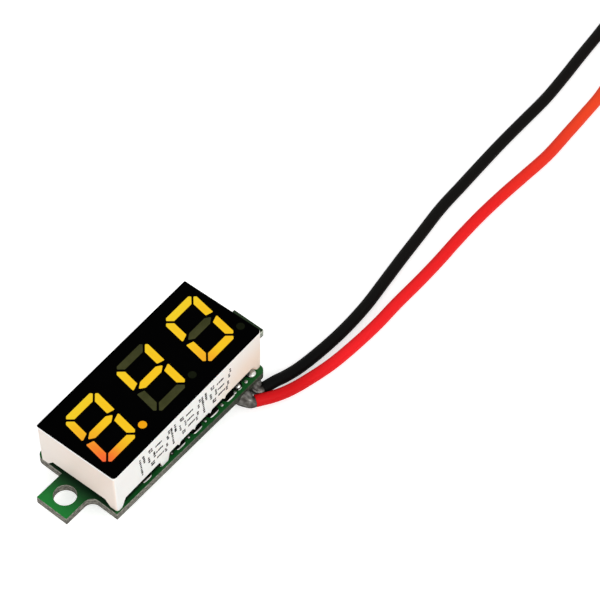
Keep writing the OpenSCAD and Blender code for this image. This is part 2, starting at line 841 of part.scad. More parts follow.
// A tube of diameter d swept along a route that is never upright
module tube(route, d, sides = 8) {
    last = len(route) - 1;
    rings = [for (i = [0 : last])
        let (t = route[min(i + 1, last)] - route[max(i - 1, 0)],
             along = t / norm(t),
             side = cross([0, 0, 1], along) / norm(cross([0, 0, 1], along)),
             up = cross(along, side))
        for (k = [0 : sides - 1])
            route[i] + d / 2 * (cos((k + 0.5) * 360 / sides) * side
                + sin((k + 0.5) * 360 / sides) * up)];
    faces = concat(
        [[for (k = [0 : sides - 1]) k]],
        [for (i = [0 : last - 1], k = [0 : sides - 1])
            [i * sides + k, (i + 1) * sides + k, (i + 1) * sides + (k + 1) % sides,
                i * sides + (k + 1) % sides]],
        [[for (k = [sides - 1 : -1 : 0]) last * sides + k]]);
    polyhedron(rings, faces);
}

module red_lead() {
    color([0.88, 0.1, 0.12]) tube(red_route, lead_d);
}

module black_lead() {
    color([0.08, 0.08, 0.08]) tube(black_route, lead_d);
}

// A lead reaches its coil at the coil's top
function coil_xy(route) = [route[len(route) - 1][0], route[len(route) - 1][1] - coil_r];

// The closed ring that the turns of a coil fill
module coil(centre) {
    translate([centre[0], centre[1], 0]) rotate_extrude()
        translate([coil_r + lead_d / 2 - coil_w, 0]) square([coil_w, lead_d]);
}

module red_coil() {
    color([0.88, 0.1, 0.12]) coil(red_coil_xy);
}

module black_coil() {
    color([0.08, 0.08, 0.08]) coil(black_coil_xy);
}

// The bare conductor end, which curls inwards from the end of the inner turn
module tail(centre, angle) {
    inner_r = coil_r + lead_d / 2 - coil_w;
    sweep = tail_l / tail_bend_r * 180 / PI;
    difference() {
        translate([centre[0], centre[1], lead_d / 2]) rotate(angle)
            translate([inner_r - tail_bend_r, 0, 0]) rotate(-sweep)
                rotate_extrude(angle = sweep) translate([tail_bend_r, 0]) circle(d = core_d);
        coil(centre);
    }
}

module red_tail() {
    color([0.75, 0.75, 0.75]) tail(red_coil_xy, red_tail_angle);
}

module black_tail() {
    color([0.75, 0.75, 0.75]) tail(black_coil_xy, black_tail_angle);
}

circuit_board();
top_pads();
bottom_pads();
vias();
display_housing();
face_film();
lit_bars();
dark_bars();
lit_point();
dark_points();
inner_board();
led_chips();
potting();
display_pins();
pin_solder();
microcontroller();
microcontroller_leads();
regulator();
regulator_leads();
diode();
diode_leads();
capacitors();
capacitor_ends();
resistors();
resistor_ends();
trimmer_base();
trimmer_terminals();
trimmer_rotor();
wire_solder();
red_core();
black_core();
red_lead();
black_lead();
red_coil();
black_coil();
red_tail();
black_tail();
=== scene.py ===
"""A three-figure LED voltmeter module with its two leads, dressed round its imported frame."""

import logging
import math
from contextlib import contextmanager
from dataclasses import dataclass
from enum import Enum
from typing import Any, Iterable, Iterator, Sequence

import bmesh
import bpy
import numpy as np
from mathutils import Matrix, Vector


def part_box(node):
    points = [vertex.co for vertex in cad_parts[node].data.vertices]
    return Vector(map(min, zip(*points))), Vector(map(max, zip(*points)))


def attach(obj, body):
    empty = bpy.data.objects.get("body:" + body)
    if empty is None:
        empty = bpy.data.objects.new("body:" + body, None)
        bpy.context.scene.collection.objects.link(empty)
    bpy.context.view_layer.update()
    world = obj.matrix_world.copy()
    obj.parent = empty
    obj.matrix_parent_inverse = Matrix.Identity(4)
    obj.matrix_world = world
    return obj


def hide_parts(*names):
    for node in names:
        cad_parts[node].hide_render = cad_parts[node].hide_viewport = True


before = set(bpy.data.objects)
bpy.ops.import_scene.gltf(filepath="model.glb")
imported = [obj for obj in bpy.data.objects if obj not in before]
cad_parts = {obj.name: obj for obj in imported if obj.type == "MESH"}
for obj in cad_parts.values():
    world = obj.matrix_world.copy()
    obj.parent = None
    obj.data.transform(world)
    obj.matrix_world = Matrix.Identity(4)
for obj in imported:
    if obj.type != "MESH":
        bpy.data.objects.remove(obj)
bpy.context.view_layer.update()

LOG = logging.getLogger("voltmeter")
MM = 0.001
MODULE = "module"
ROTOR = "rotor"
RNG_SEED = 28
# Degrees by which the display stands turned on its board.
SKEW = 1.5
# Middles of the two pads that hold the leads.
WIRE_PADS = (7.8 * MM, 9.9 * MM)
WIRE_PAD_Y = -4.4 * MM
# The bars that each figure lights.
LIT_BARS = {8: "abcdefg", 4: "bcfg", 0: "abcdef"}

Colour = tuple[float, float, float]
Stops = tuple[tuple[float, Colour], ...]
Pair = tuple[float, float]
Number = int | float


def dimmed(colour: Colour, share: float) -> Colour:
    """A colour times a share."""
    return tuple(c * share for c in colour)


# ---------------------------------------------------------------- shader maths


class Value:
    """A shader socket with its tree, so that shader maths reads as Python."""

    def __init__(self, tree: "Tree", socket: bpy.types.NodeSocket) -> None:
        """Keeps the socket and the tree it belongs to."""
        self.tree = tree
        self.socket = socket

    def math(self, operation: str, *others: Any) -> "Value":
        """Adds a Math node.

        Args:
            operation: the Math node's operation.
            others: the values or numbers of its further sockets.

        Returns:
            The node's answer.
        """
        inputs = dict(enumerate((self, *others)))
        return self.tree.node("ShaderNodeMath", {"operation": operation}, inputs)

    def __add__(self, other: Any) -> "Value":
        """Sum."""
        return self.math("ADD", other)

    def __radd__(self, other: Any) -> "Value":
        """Sum with the number on the left."""
        return self.math("ADD", other)

    def __sub__(self, other: Any) -> "Value":
        """Difference."""
        return self.math("SUBTRACT", other)

    def __rsub__(self, other: Any) -> "Value":
        """Difference from a number on the left."""
        return self.tree.number(other).math("SUBTRACT", self)

    def __mul__(self, other: Any) -> "Value":
        """Product."""
        return self.math("MULTIPLY", other)

    def __rmul__(self, other: Any) -> "Value":
        """Product with the number on the left."""
        return self.math("MULTIPLY", other)

    def __truediv__(self, other: Any) -> "Value":
        """Quotient."""
        return self.math("DIVIDE", other)

    def __rtruediv__(self, other: Any) -> "Value":
        """Quotient of a number on the left."""
        return self.tree.number(other).math("DIVIDE", self)

    def __pow__(self, other: Any) -> "Value":
        """Power."""
        return self.math("POWER", other)

    def absolute(self) -> "Value":
        """Size without sign."""
        return self.math("ABSOLUTE")

    def smooth(self, low: Number, high: Number) -> "Value":
        """A smooth step.

        Args:
            low: where the step starts from 0.
            high: where it reaches 1.

        Returns:
            0 before low, 1 after high, eased between.
        """
        settings = {"interpolation_type": "SMOOTHSTEP"}
        inputs = {"Value": self, "From Min": low, "From Max": high}
        return self.tree.node("ShaderNodeMapRange", settings, inputs)


class Tree:
    """The node tree of one material or world."""

    def __init__(self, tree: bpy.types.NodeTree) -> None:
        """Empties the tree and keeps it."""
        self.tree = tree
        tree.nodes.clear()

    def number(self, value: Number) -> Value:
        """A constant as a socket, for the left side of a sum."""
        made = self.tree.nodes.new("ShaderNodeValue")
        made.outputs[0].default_value = value
        return Value(self, made.outputs[0])

    def node(
        self,
        kind: str,
        settings: dict[str, Any] | None = None,
        inputs: dict[Any, Any] | None = None,
        output: Any = 0,
    ) -> Value:
        """Adds any node.

        Args:
            kind: the node's type name.
            settings: its settings, set first; "stops" sets a colour ramp's.
            inputs: value or link of each socket, by name or number.
            output: name or number of the socket to answer with.

        Returns:
            That output.
        """
        made = self.tree.nodes.new(kind)
        for key, value in (settings or {}).items():
            if key == "stops":
                self._ramp(made, value)
            else:
                setattr(made, key, value)
        for key, value in (inputs or {}).items():
            if isinstance(value, Value):
                self.tree.links.new(value.socket, made.inputs[key])
            else:
                made.inputs[key].default_value = value
        return Value(self, made.outputs[output])

    @staticmethod
    def _ramp(made: bpy.types.Node, stops: Stops) -> None:
        """Sets a colour ramp's stops."""
        elements = made.color_ramp.elements
        while len(elements) < len(stops):
            elements.new(0.5)
        for element, (place, colour) in zip(elements, stops, strict=True):
            element.position = place
            element.color = (*colour, 1)

    def place(self) -> Value:
        """The point in the part's own frame, in metres."""
        return self.node("ShaderNodeTexCoord", output="Object")

    def along_display(self) -> tuple[Value, Value]:
        """The point's place along and across the display, which stands a little turned.

        Formula: u = x cos a + y sin a and v = y cos a - x sin a for the turn a.
        """
        x, y, _ = self.parts(self.place())
        c, s = math.cos(math.radians(SKEW)), math.sin(math.radians(SKEW))
        return x * c + y * s, y * c - x * s

    def ramp(self, place: Value, stops: Stops) -> Value:
        """A colour that follows a value from 0 to 1 through its stops."""
        return self.node("ShaderNodeValToRGB", {"stops": stops}, {0: place})

    def parts(self, vector: Value) -> tuple[Value, Value, Value]:
        """The three numbers of a vector."""
        made = self.node("ShaderNodeSeparateXYZ", inputs={0: vector})
        outputs = made.socket.node.outputs
        return tuple(Value(self, outputs[k]) for k in range(3))

    def vector(self, x: Any, y: Any, z: Any) -> Value:
        """A vector from three values or numbers."""
        return self.node("ShaderNodeCombineXYZ", inputs={0: x, 1: y, 2: z})

    def normal(self) -> tuple[Value, Value, Value]:
        """The face's own direction, before any bump."""
        return self.parts(self.node("ShaderNodeNewGeometry", output="Normal"))

    def noise(self, grain: float, detail: float = 3, vector: Value | None = None) -> Value:
        """Cloudy noise from 0 to 1.

        Args:
            grain: size of its features, in metres.
            detail: how many finer layers it has.
            vector: where it is read; the part's own frame if left out.

        Returns:
            The noise.
        """
        inputs = {"Vector": vector or self.place(), "Scale": 1 / grain, "Detail": detail}
        return self.node("ShaderNodeTexNoise", inputs=inputs)

    def mix(self, factor: Any, first: Any, second: Any) -> Value:
        """Blends two colours.

        Args:
            factor: 0 for the first, 1 for the second.
            first: a colour or a link.
            second: a colour or a link.

        Returns:
            The blend.
        """
        inputs: dict[Any, Any] = {0: factor}
        for socket, colour in ((6, first), (7, second)):
            inputs[socket] = colour if isinstance(colour, Value) else (*colour, 1)
        return self.node("ShaderNodeMix", {"data_type": "RGBA"}, inputs, output=2)

    def scaled(self, colour: Value, share: Any) -> Value:
        """A colour times a value or number."""
        settings = {"operation": "SCALE"}
        return self.node("ShaderNodeVectorMath", settings, {0: colour, "Scale": share})

    def bump(self, height: Value, depth: float) -> Value:
        """A bumped normal; depth is in metres for a height from 0 to 1."""
        inputs = {"Height": height, "Distance": depth, "Strength": 1}
        return self.node("ShaderNodeBump", inputs=inputs, output="Normal")

    def finish(self, shader: Value, kind: str = "ShaderNodeOutputMaterial") -> None:
        """Joins the shader to the tree's output."""
        made = self.tree.nodes.new(kind)
        self.tree.links.new(shader.socket, made.inputs["Surface"])


# ---------------------------------------------------------------- finishes


@dataclass(frozen=True)
class Finish:
    """The surface of one kind of piece. Each kind paints its own shader sockets."""

    name: str
    roughness: float = 0.5
    metallic: float = 0.0
    specular: float = 0.5

    def paint(self, tree: Tree) -> dict[str, Any]:
        """The shader sockets that this finish sets: values, or links that vary."""
        raise NotImplementedError

    def material(self) -> bpy.types.Material:
        """The finish as a material, made the first time that it is asked for.

        Its name has an ending of its own, so it never meets a material of the frame.
        """
        name = f"{self.name}_finish"
        known = bpy.data.materials.get(name)
        if known:
            return known
        made = bpy.data.materials.new(name)
        made.use_nodes = True
        tree = Tree(made.node_tree)
        inputs: dict[str, Any] = {
            "Roughness": self.roughness,
            "Metallic": self.metallic,
            "Specular IOR Level": self.specular,
        }
        inputs.update(self.paint(tree))
        tree.finish(tree.node("ShaderNodeBsdfPrincipled", inputs=inputs))
        return made


@dataclass(frozen=True)
class BoardLaminate(Finish):
    """Green solder mask with painted shade beside and under the display, and speckled fibreglass on
    the edges.
    """

    mask: Colour = (0.004, 0.175, 0.022)
    # The shaded colour is painted shade under and beside the display; the far ear's colour is a
    # painted shadow of the housing on the +X ear.
    shaded: Colour = (0.0005, 0.012, 0.003)
    under: Colour = (0.006, 0.13, 0.03)
    far_ear_shadow: Colour = (0.006, 0.02, 0.003)
    half_display: Pair = (11.25 * MM, 5 * MM)
    reach: float = 3.5 * MM
    side_strip_light: float = 0.42
    # The edges' colours run along X as painted shade that deepens towards +X, with a painted
    # reflection by the far ear's corner.
    edge_shade_span: Pair = (-6 * MM, 15 * MM)
    edges: Stops = (
        (0.0, (0.17, 0.165, 0.14)),
        (0.3, (0.055, 0.06, 0.045)),
        (0.65, (0.022, 0.026, 0.017)),
        (0.84, (0.06, 0.07, 0.05)),
        (0.92, (0.38, 0.42, 0.35)),
    )

    def paint(self, tree: Tree) -> dict[str, Any]:
        """Mask with painted shade by the distance from the display, plies of glass cloth on the
        edges.

        Formula: the mask is lightest the reach past the display's ends and falls to the shaded
        colour at them as painted shade, with the strip's share of painted light along its sides;
        the +X ear takes a painted shadow of the housing. Along X the edges take painted shade
        that deepens towards +X, and a painted reflection by the far ear's corner.
        """
        x, y, z = tree.parts(tree.place())
        u, v = tree.along_display()
        nz = tree.normal()[2]
        flat = nz.absolute().smooth(0.55, 0.8)
        # Painted shade: the mask darkens towards the display and is darkest under it.
        past_end = ((u.absolute() - self.half_display[0]) / self.reach).smooth(-0.15, 1.1)
        past_side = (v.absolute() - self.half_display[1]).smooth(-0.35 * MM, -0.1 * MM)
        lit = past_end.math("MAXIMUM", past_side * self.side_strip_light)
        cloud = tree.noise(2.2 * MM, 4).smooth(0.35, 0.7)
        top = tree.mix(lit, self.shaded, tree.mix(cloud * 0.3, self.mask, self.under))
        # Painted shadow of the housing on the +X ear.
        top = tree.mix(u.smooth(11.4 * MM, 12.2 * MM), top, self.far_ear_shadow)
        mask = tree.mix(nz.smooth(-0.1, 0.1), self.under, top)
        # Painted shade along the edges by X, and a painted reflection near the +X end.
        length = self.edge_shade_span[1] - self.edge_shade_span[0]
        edge = tree.ramp((x - self.edge_shade_span[0]) / length, self.edges)
        speckle = tree.noise(0.3 * MM, 4, tree.vector(x, y, z * 1.5)).smooth(0.36, 0.62)
        seam = z.smooth(2.05 * MM, 2.2 * MM) + z.smooth(2.7 * MM, 2.85 * MM) * 0.7
        glass = tree.scaled(edge, (speckle + 0.45) * (seam * 0.6 + 0.4))
        relief = tree.noise(0.12 * MM, 2) * (1 - flat) + tree.noise(0.5 * MM, 2) * flat * 0.3
        return {
            "Base Color": tree.mix(flat, glass, mask),
            "Roughness": 0.75 - flat * 0.25 + cloud * 0.05,
            "Normal": tree.bump(relief, 0.02 * MM),
        }


@dataclass(frozen=True)
class CoveredTrace(Finish):
    """Solder mask over a copper trace, a little lighter than over bare laminate."""

    mask: Colour = (0.03, 0.32, 0.1)

    def paint(self, tree: Tree) -> dict[str, Any]:
        """One green with a faint cloud in it."""
        cloud = tree.noise(1.5 * MM, 3)
        return {
            "Base Color": tree.mix(cloud, dimmed(self.mask, 0.7), self.mask),
            "Roughness": 0.3 + cloud * 0.12,
        }


@dataclass(frozen=True)
class TinnedMetal(Finish):
    """Tin or solder on copper: bright where it flowed, dull and grainy elsewhere."""

    bright: Colour = (0.86, 0.85, 0.82)
    dull: Colour = (0.5, 0.5, 0.48)
    grain: float = 0.18 * MM
    metallic: float = 1.0
    shine: float = 0.18

    def paint(self, tree: Tree) -> dict[str, Any]:
        """Cloudy colour and roughness with a fine frosted relief."""
        cloud = tree.noise(self.grain * 4, 4)
        frost = tree.noise(self.grain, 3)
        worn = cloud.smooth(0.35, 0.7)
        return {
            "Base Color": tree.mix(worn, self.dull, self.bright),
            "Roughness": self.shine + (1 - worn) * 0.22 + frost * 0.1,
            "Normal": tree.bump(frost, 0.012 * MM),
        }


@dataclass(frozen=True)
class ShadedTin(TinnedMetal):
    """Tin that is dark where something keeps the light off it."""

    dark: Colour = (0.008, 0.008, 0.007)
    axis: int = 1
    edge: float = 4.93 * MM
    soft: float = 0.03 * MM

    def paint(self, tree: Tree) -> dict[str, Any]:
        """The plain finish, dark where the axis' number is less than the edge in size."""
        inputs = super().paint(tree)
        place = tree.parts(tree.place())[self.axis].absolute()
        past = place.smooth(self.edge - self.soft, self.edge + self.soft)
        inputs["Base Color"] = tree.mix(past, self.dark, inputs["Base Color"])
        return inputs


@dataclass(frozen=True)
class MouldedHousing(Finish):
    """White moulded plastic with painted rosy shade on its end faces.

    A painted warm reflection of the red lead lies low down near the leads, and a painted
    highlight runs along the top edge.
    """

    white: Colour = (0.93, 0.925, 0.9)
    # The rosy colour is painted shade on the end faces, the warm one a painted reflection of the
    # red lead, and the rim a painted highlight along the top edge.
    rosy_end_shade: Colour = (0.91, 0.765, 0.67)
    shade: Colour = (0.88, 0.875, 0.84)
    red_lead_bounce: Colour = (0.95, 0.79, 0.66)
    rim: Colour = (0.97, 0.97, 0.95)

    def paint(self, tree: Tree) -> dict[str, Any]:
        """Painted shade on the end faces, a painted reflection near the leads, spark-eroded grain.
        """
        x, y, z = tree.parts(tree.place())
        end = tree.normal()[0].absolute().smooth(0.5, 0.95)
        mottle = tree.noise(3.5 * MM, 4).smooth(0.3, 0.75)
        side = tree.mix(mottle * 0.35, self.white, self.shade)
        # Painted reflection of the red lead: warmer towards +X and low down.
        low = x.smooth(2 * MM, 9 * MM) * (1 - z.smooth(4.5 * MM, 9.2 * MM) * 0.75)
        side = tree.mix(low, side, self.red_lead_bounce)
        # Painted shade on the end faces: lighter towards +Y, darker low in the middle, with a
        # painted highlight along the top edge.
        middle = (1 - (y.absolute() / (5 * MM))) * (1 - z.smooth(3 * MM, 6 * MM))
        rosy_end_shade = tree.mix(y.smooth(-2 * MM, 5 * MM) * 0.4, self.rosy_end_shade, self.white)
        rosy_end_shade = tree.mix(middle * 0.3, rosy_end_shade, dimmed(self.rosy_end_shade, 0.78))
        rosy_end_shade = tree.mix(z.smooth(8.68 * MM, 8.8 * MM), rosy_end_shade, self.rim)
        grain = tree.noise(0.09 * MM, 2)
        flow = tree.noise(0.9 * MM, 2)
        return {
            "Base Color": tree.mix(end * 0.8, side, rosy_end_shade),
            "Roughness": 0.42 + grain * 0.12 + flow * 0.06,
            "Subsurface Weight": 0.12,
            "Subsurface Radius": (0.9, 0.6, 0.45),
            "Subsurface Scale": 0.5 * MM,
            "Normal": tree.bump(grain * 0.6 + flow * 0.4, 0.008 * MM),
        }


@dataclass(frozen=True)
class PrintedFace(Finish):
    """Matt black print on the display's face."""

    black: Colour = (0.0003, 0.0003, 0.00035)

    def paint(self, tree: Tree) -> dict[str, Any]:
        """Near black, a little uneven, with a fine tooth."""
        tooth = tree.noise(0.06 * MM, 3)
        cloud = tree.noise(4 * MM, 3)
        return {
            "Base Color": tree.mix(cloud.smooth(0.4, 0.8), self.black, dimmed(self.black, 1.8)),
            "Roughness": 0.62 + tooth * 0.15,
            "Normal": tree.bump(tooth, 0.004 * MM),
        }


@dataclass(frozen=True)
class GlowingResin(Finish):
    """Yellow resin lit from below, reddest round one weak chip."""

    yellow: Colour = (1.0, 0.61, 0.018)
    lemon: Colour = (0.92, 0.71, 0.03)
    amber: Colour = (0.98, 0.4, 0.022)
    weak_spot: Pair = (-10.3 * MM, -3.4 * MM)
    dim_spot: Pair = (5.3 * MM, -3.4 * MM)
    reach: float = 3.4 * MM
    dim_reach: float = 1.9 * MM
    squash: float = 0.55
    glow: float = 0.8
    body: float = 0.15
    stops: Stops = (
        (0.0, (1.0, 0.1, 0.045)),
        (0.25, (1.0, 0.19, 0.03)),
        (0.45, (1.0, 0.29, 0.028)),
        (0.65, (0.97, 0.46, 0.02)),
    )

    def away(self, tree: Tree, spot: Pair) -> Value:
        """Distance from a spot, along the display more than across it.

        Formula: the root of dx squared plus the squash times dy, squared.
        """
        x, y, _ = tree.parts(tree.place())
        return ((x - spot[0]) ** 2 + ((y - spot[1]) * self.squash) ** 2) ** 0.5

    def paint(self, tree: Tree) -> dict[str, Any]:
        """Colour by the distance from the weak chip, with a granular glow."""
        y = tree.parts(tree.place())[1]
        drift = tree.noise(2.6 * MM, 2)
        plain = tree.mix(y.smooth(1 * MM, 4 * MM) * 0.7, self.yellow, self.lemon)
        dim = 1 - self.away(tree, self.dim_spot).smooth(0.2 * MM, self.dim_reach)
        plain = tree.mix(dim * 0.8 + drift.smooth(0.55, 0.8) * 0.15, plain, self.amber)
        near = self.away(tree, self.weak_spot) / self.reach + (drift - 0.5) * 0.2
        weak = tree.ramp(near, self.stops)
        colour = tree.mix(near.smooth(0.6, 1.12), weak, plain)
        grain = tree.noise(0.16 * MM, 2)
        glowing = tree.mix(grain.smooth(0.3, 0.75) * 0.12, colour, dimmed(self.yellow, 0.8))
        return {
            "Base Color": tree.scaled(glowing, self.body),
            "Emission Color": glowing,
            "Emission Strength": self.glow,
        }


@dataclass(frozen=True)
class UnlitResin(Finish):
    """The same resin with no light behind it: a dull olive."""

    olive: Colour = (0.052, 0.055, 0.019)
    darker: Colour = (0.038, 0.041, 0.013)

    def paint(self, tree: Tree) -> dict[str, Any]:
        """Cloudy olive with the resin's grain."""
        cloud = tree.noise(1.1 * MM, 3)
        grain = tree.noise(0.1 * MM, 2)
        return {
            "Base Color": tree.mix(cloud.smooth(0.3, 0.7), self.darker, self.olive),
            "Roughness": 0.5 + grain * 0.2,
        }


@dataclass(frozen=True)
class DullSolid(Finish):
    """A plain body with a clouded colour and a fine grain."""

    colour: Colour = (0.022, 0.022, 0.024)
    second: Colour = (0.034, 0.034, 0.036)
    cloud: float = 1.2 * MM
    grain: float = 0.05 * MM
    depth: float = 0.006 * MM

    def paint(self, tree: Tree) -> dict[str, Any]:
        """Two colours in clouds, and a grain in the relief and the gloss."""
        cloud = tree.noise(self.cloud, 4)
        grain = tree.noise(self.grain, 2)
        return {
            "Base Color": tree.mix(cloud.smooth(0.3, 0.7), self.colour, self.second),
            "Roughness": self.roughness + grain * 0.12,
            "Normal": tree.bump(grain, self.depth),
        }


@dataclass(frozen=True)
class Jacket(Finish):
    """Smooth cable insulation, with scuffs that run along the lead, and painted light and shade
    along X.
    """

    span: float = 80 * MM
    # Painted shade near the board, then painted warm light on the far run.
    stops: Stops = (
        (0.15, (0.62, 0.001, 0.004)),
        (0.24, (0.87, 0.009, 0.014)),
        (0.56, (0.83, 0.01, 0.01)),
        (0.68, (0.83, 0.032, 0.012)),
        (0.78, (0.87, 0.056, 0.012)),
        (0.85, (0.87, 0.056, 0.012)),
        (0.98, (0.8, 0.01, 0.01)),
    )
    scuff: float = 0.12

    def paint(self, tree: Tree) -> dict[str, Any]:
        """Scuffs read the lead's own length and turn.

        The colour along +X is painted: painted shade by the board and painted warm light further
        out.
        """
        x = tree.parts(tree.place())[0]
        own = tree.node("ShaderNodeUVMap", {"uv_map": "UVMap"}, output="UV")
        run, turn, _ = tree.parts(own)
        lines = tree.noise(1.0, 3, tree.vector(run * 220, turn * 14, 0))
        cloud = tree.noise(2.5 * MM, 2)
        # Painted shade near the board and painted warm light farther out, by X.
        colour = tree.ramp(x / self.span, self.stops)
        pale = tree.mix(0.1, colour, (1, 1, 1))
        return {
            "Base Color": tree.mix(lines.smooth(0.62, 0.8) * self.scuff, colour, pale),
            "Roughness": self.roughness + lines * 0.14 + cloud * 0.06,
            "Normal": tree.bump(lines * 0.5 + cloud, 0.01 * MM),
        }


class Finishes(Enum):
    """Every finish of the module."""

    BOARD = BoardLaminate("solder_mask_and_glass", specular=0.18)
    TRACE = CoveredTrace("mask_over_copper", specular=0.45)
    TIN = TinnedMetal("tinned_copper")
    # Painted shade on the top pads under the display's walls.
    SHADED_PAD_TIN = ShadedTin("shaded_pad_tin")
    # Painted shade on the solder mounds below the board's top.
    WIRE_SOLDER = ShadedTin("wire_solder", dark=(0.1, 0.1, 0.095), axis=2, edge=2.9 * MM)
    SOLDER = TinnedMetal("bright_solder", grain=0.3 * MM, shine=0.12)
    PIN = TinnedMetal("plated_pin", bright=(0.8, 0.79, 0.76), dull=(0.6, 0.59, 0.57), shine=0.25)
    # Dark grey as painted shade: the strands lie in the board's shadow at the pads, and the bare
    # ends share the finish.
    STRANDS = TinnedMetal(
        "tinned_strands", bright=(0.16, 0.155, 0.145), dull=(0.06, 0.055, 0.05), shine=0.3
    )
    HOUSING = MouldedHousing("white_moulding", specular=0.35)
    FACE = PrintedFace("black_face_print", specular=0.006)
    LIT = GlowingResin("lit_resin", roughness=0.55, specular=0.02)
    LIT_POINT = GlowingResin("lit_point", roughness=0.55, specular=0.02, yellow=(0.95, 0.4, 0.006))
    UNLIT = UnlitResin("unlit_resin", specular=0.04)
    UNLIT_POINT = UnlitResin(
        "unlit_point", specular=0.02, olive=(0.0065, 0.0085, 0.003), darker=(0.004, 0.006, 0.002)
    )
    INK = DullSolid(
        "ink_dots", 0.7, specular=0.1, colour=(0.008, 0.006, 0.007), second=(0.02, 0.016, 0.017)
    )
    CHIP = DullSolid("moulded_chip", 0.55)
    # The potting is coloured near black as painted shade inside the display.
    POTTING_PAINTED_SHADE = DullSolid(
        "potting_in_painted_shade", 0.35, colour=(0.03, 0.028, 0.024), second=(0.045, 0.04, 0.034)
    )
    LAMINATE = DullSolid(
        "bare_laminate", 0.55, colour=(0.55, 0.52, 0.33), second=(0.48, 0.45, 0.28)
    )
    DIE = DullSolid("led_die", 0.3, colour=(0.6, 0.45, 0.2), second=(0.5, 0.36, 0.16))
    TAN_CERAMIC = DullSolid(
        "tan_ceramic", 0.5, colour=(0.42, 0.27, 0.14), second=(0.34, 0.21, 0.11)
    )
    WHITE_CERAMIC = DullSolid(
        "white_ceramic", 0.5, colour=(0.78, 0.77, 0.72), second=(0.7, 0.69, 0.64)
    )
    GLAZE = DullSolid(
        "resistor_glaze", 0.28, colour=(0.015, 0.015, 0.02), second=(0.03, 0.03, 0.035)
    )
    ROTOR = TinnedMetal("rotor_plate", bright=(0.8, 0.75, 0.62), dull=(0.55, 0.5, 0.4), shine=0.28)
    RED = Jacket("red_jacket", 0.45, specular=0.15)
    BLACK = Jacket(
        "black_jacket",
        0.45,
        specular=0.04,
        # Painted shade near the board.
        stops=((0.2, (0.0022, 0.0022, 0.0022)), (0.4, (0.005, 0.0046, 0.0042))),
        scuff=0.03,
    )


# ---------------------------------------------------------------- shapes


def round_angles(count: int) -> np.ndarray:
    """Even angles round a circle."""
    return np.linspace(0, 2 * math.pi, count, endpoint=False)


def on_circle(angles: np.ndarray) -> np.ndarray:
    """The points at angles on a circle of radius 1."""
    return np.stack([np.cos(angles), np.sin(angles)], -1)


def unit(rows: np.ndarray) -> np.ndarray:
    """Each row at length 1."""
    return rows / np.linalg.norm(rows, axis=-1, keepdims=True)


def grid_faces(rows: int, columns: int, wrap_rows: bool, wrap_columns: bool) -> np.ndarray:
    """The four-cornered faces of a grid of points.

    Args:
        rows: number of rows.
        columns: number of points in a row.
        wrap_rows: whether the last row joins the first.
        wrap_columns: whether each row closes on itself.

    Returns:
        One row of four point numbers for each face, counter-clockwise when rows
        run to the right and columns run up.
    """
    i = np.arange(rows if wrap_rows else rows - 1)[:, None]
    j = np.arange(columns if wrap_columns else columns - 1)[None, :]
    near, far = i * columns, (i + 1) % rows * columns
    left, right = j + 0 * i, (j + 1) % columns + 0 * i
    faces = [near + left, far + left, far + right, near + right]
    return np.stack(faces, -1).reshape(-1, 4)


class Shape:
    """Points and faces that become one mesh."""

    def __init__(self) -> None:
        """Starts empty."""
        self.points: list[np.ndarray] = []
        self.faces: list[list[int]] = []
        self.corners: list[np.ndarray] = []
        self.count = 0

    def grid(
        self,
        points: np.ndarray,
        wrap_rows: bool = False,
        wrap_columns: bool = False,
        uv_size: Pair = (1, 1),
    ) -> "Shape":
        """Adds a grid of points, rows first.

        Args:
            points: an array of rows by columns by three.
            wrap_rows: whether the last row joins the first.
            wrap_columns: whether each row closes on itself.
            uv_size: what the whole grid spans in its UV map.

        Returns:
            This shape.
        """
        rows, columns = points.shape[:2]
        faces = grid_faces(rows, columns, wrap_rows, wrap_columns)
        i, j = faces[:, 0] // columns, faces[:, 0] % columns
        step = np.array([[0, 0], [1, 0], [1, 1], [0, 1]])
        spans = np.array([rows - (not wrap_rows), columns - (not wrap_columns)])
        uv = (np.stack([i, j], -1)[:, None] + step) / spans * np.array(uv_size)
        self.corners.append(uv.reshape(-1, 2))
        self.faces += (faces + self.count).tolist()
        self._add(points.reshape(-1, 3))
        return self

    def fan(self, ring: np.ndarray, middle: Sequence[float], turned: bool = False) -> "Shape":
        """Closes a ring of points with triangles to a middle point.

        Args:
            ring: the ring's points.
            middle: the point that they meet in.
            turned: whether the faces look the other way.

        Returns:
            This shape.
        """
        k = np.arange(len(ring))
        faces = np.stack([k, (k + 1) % len(ring), np.full(len(ring), len(ring))], -1)
        faces = faces[:, ::-1] if turned else faces
        self.corners.append(np.zeros((faces.size, 2)))
        self.faces += (faces + self.count).tolist()
        self._add(np.vstack([ring, np.array(middle)[None]]))
        return self

    def capped(
        self, rings: np.ndarray, ends: tuple[np.ndarray, np.ndarray] | None = None
    ) -> "Shape":
        """Adds a closed tube of rings.

        Args:
            rings: its rings, in order.
            ends: the points that close it; the end rings' middles if left out.

        Returns:
            This shape.
        """
        first, last = ends or (rings[0].mean(0), rings[-1].mean(0))
        self.grid(rings, wrap_columns=True)
        self.fan(rings[0], first, turned=True)
        return self.fan(rings[-1], last)

    def _add(self, points: np.ndarray) -> None:
        """Keeps more points."""
        self.points.append(points)
        self.count += len(points)

    def piece(self, name: str, smooth_to: float = 40) -> bpy.types.Object:
        """Makes the mesh, with its doubles merged and its faces turned outwards.

        Args:
            name: the piece's name.
            smooth_to: the angle in degrees up to which neighbouring faces blend.

        Returns:
            The new object, at the origin.
        """
        mesh = bpy.data.meshes.new(name)
        mesh.from_pydata(np.vstack(self.points).tolist(), [], self.faces)
        layer = mesh.uv_layers.new(name="UVMap")
        layer.data.foreach_set("uv", np.vstack(self.corners).ravel())
        tidy_mesh(mesh)
        return shown(name, mesh, smooth_to)


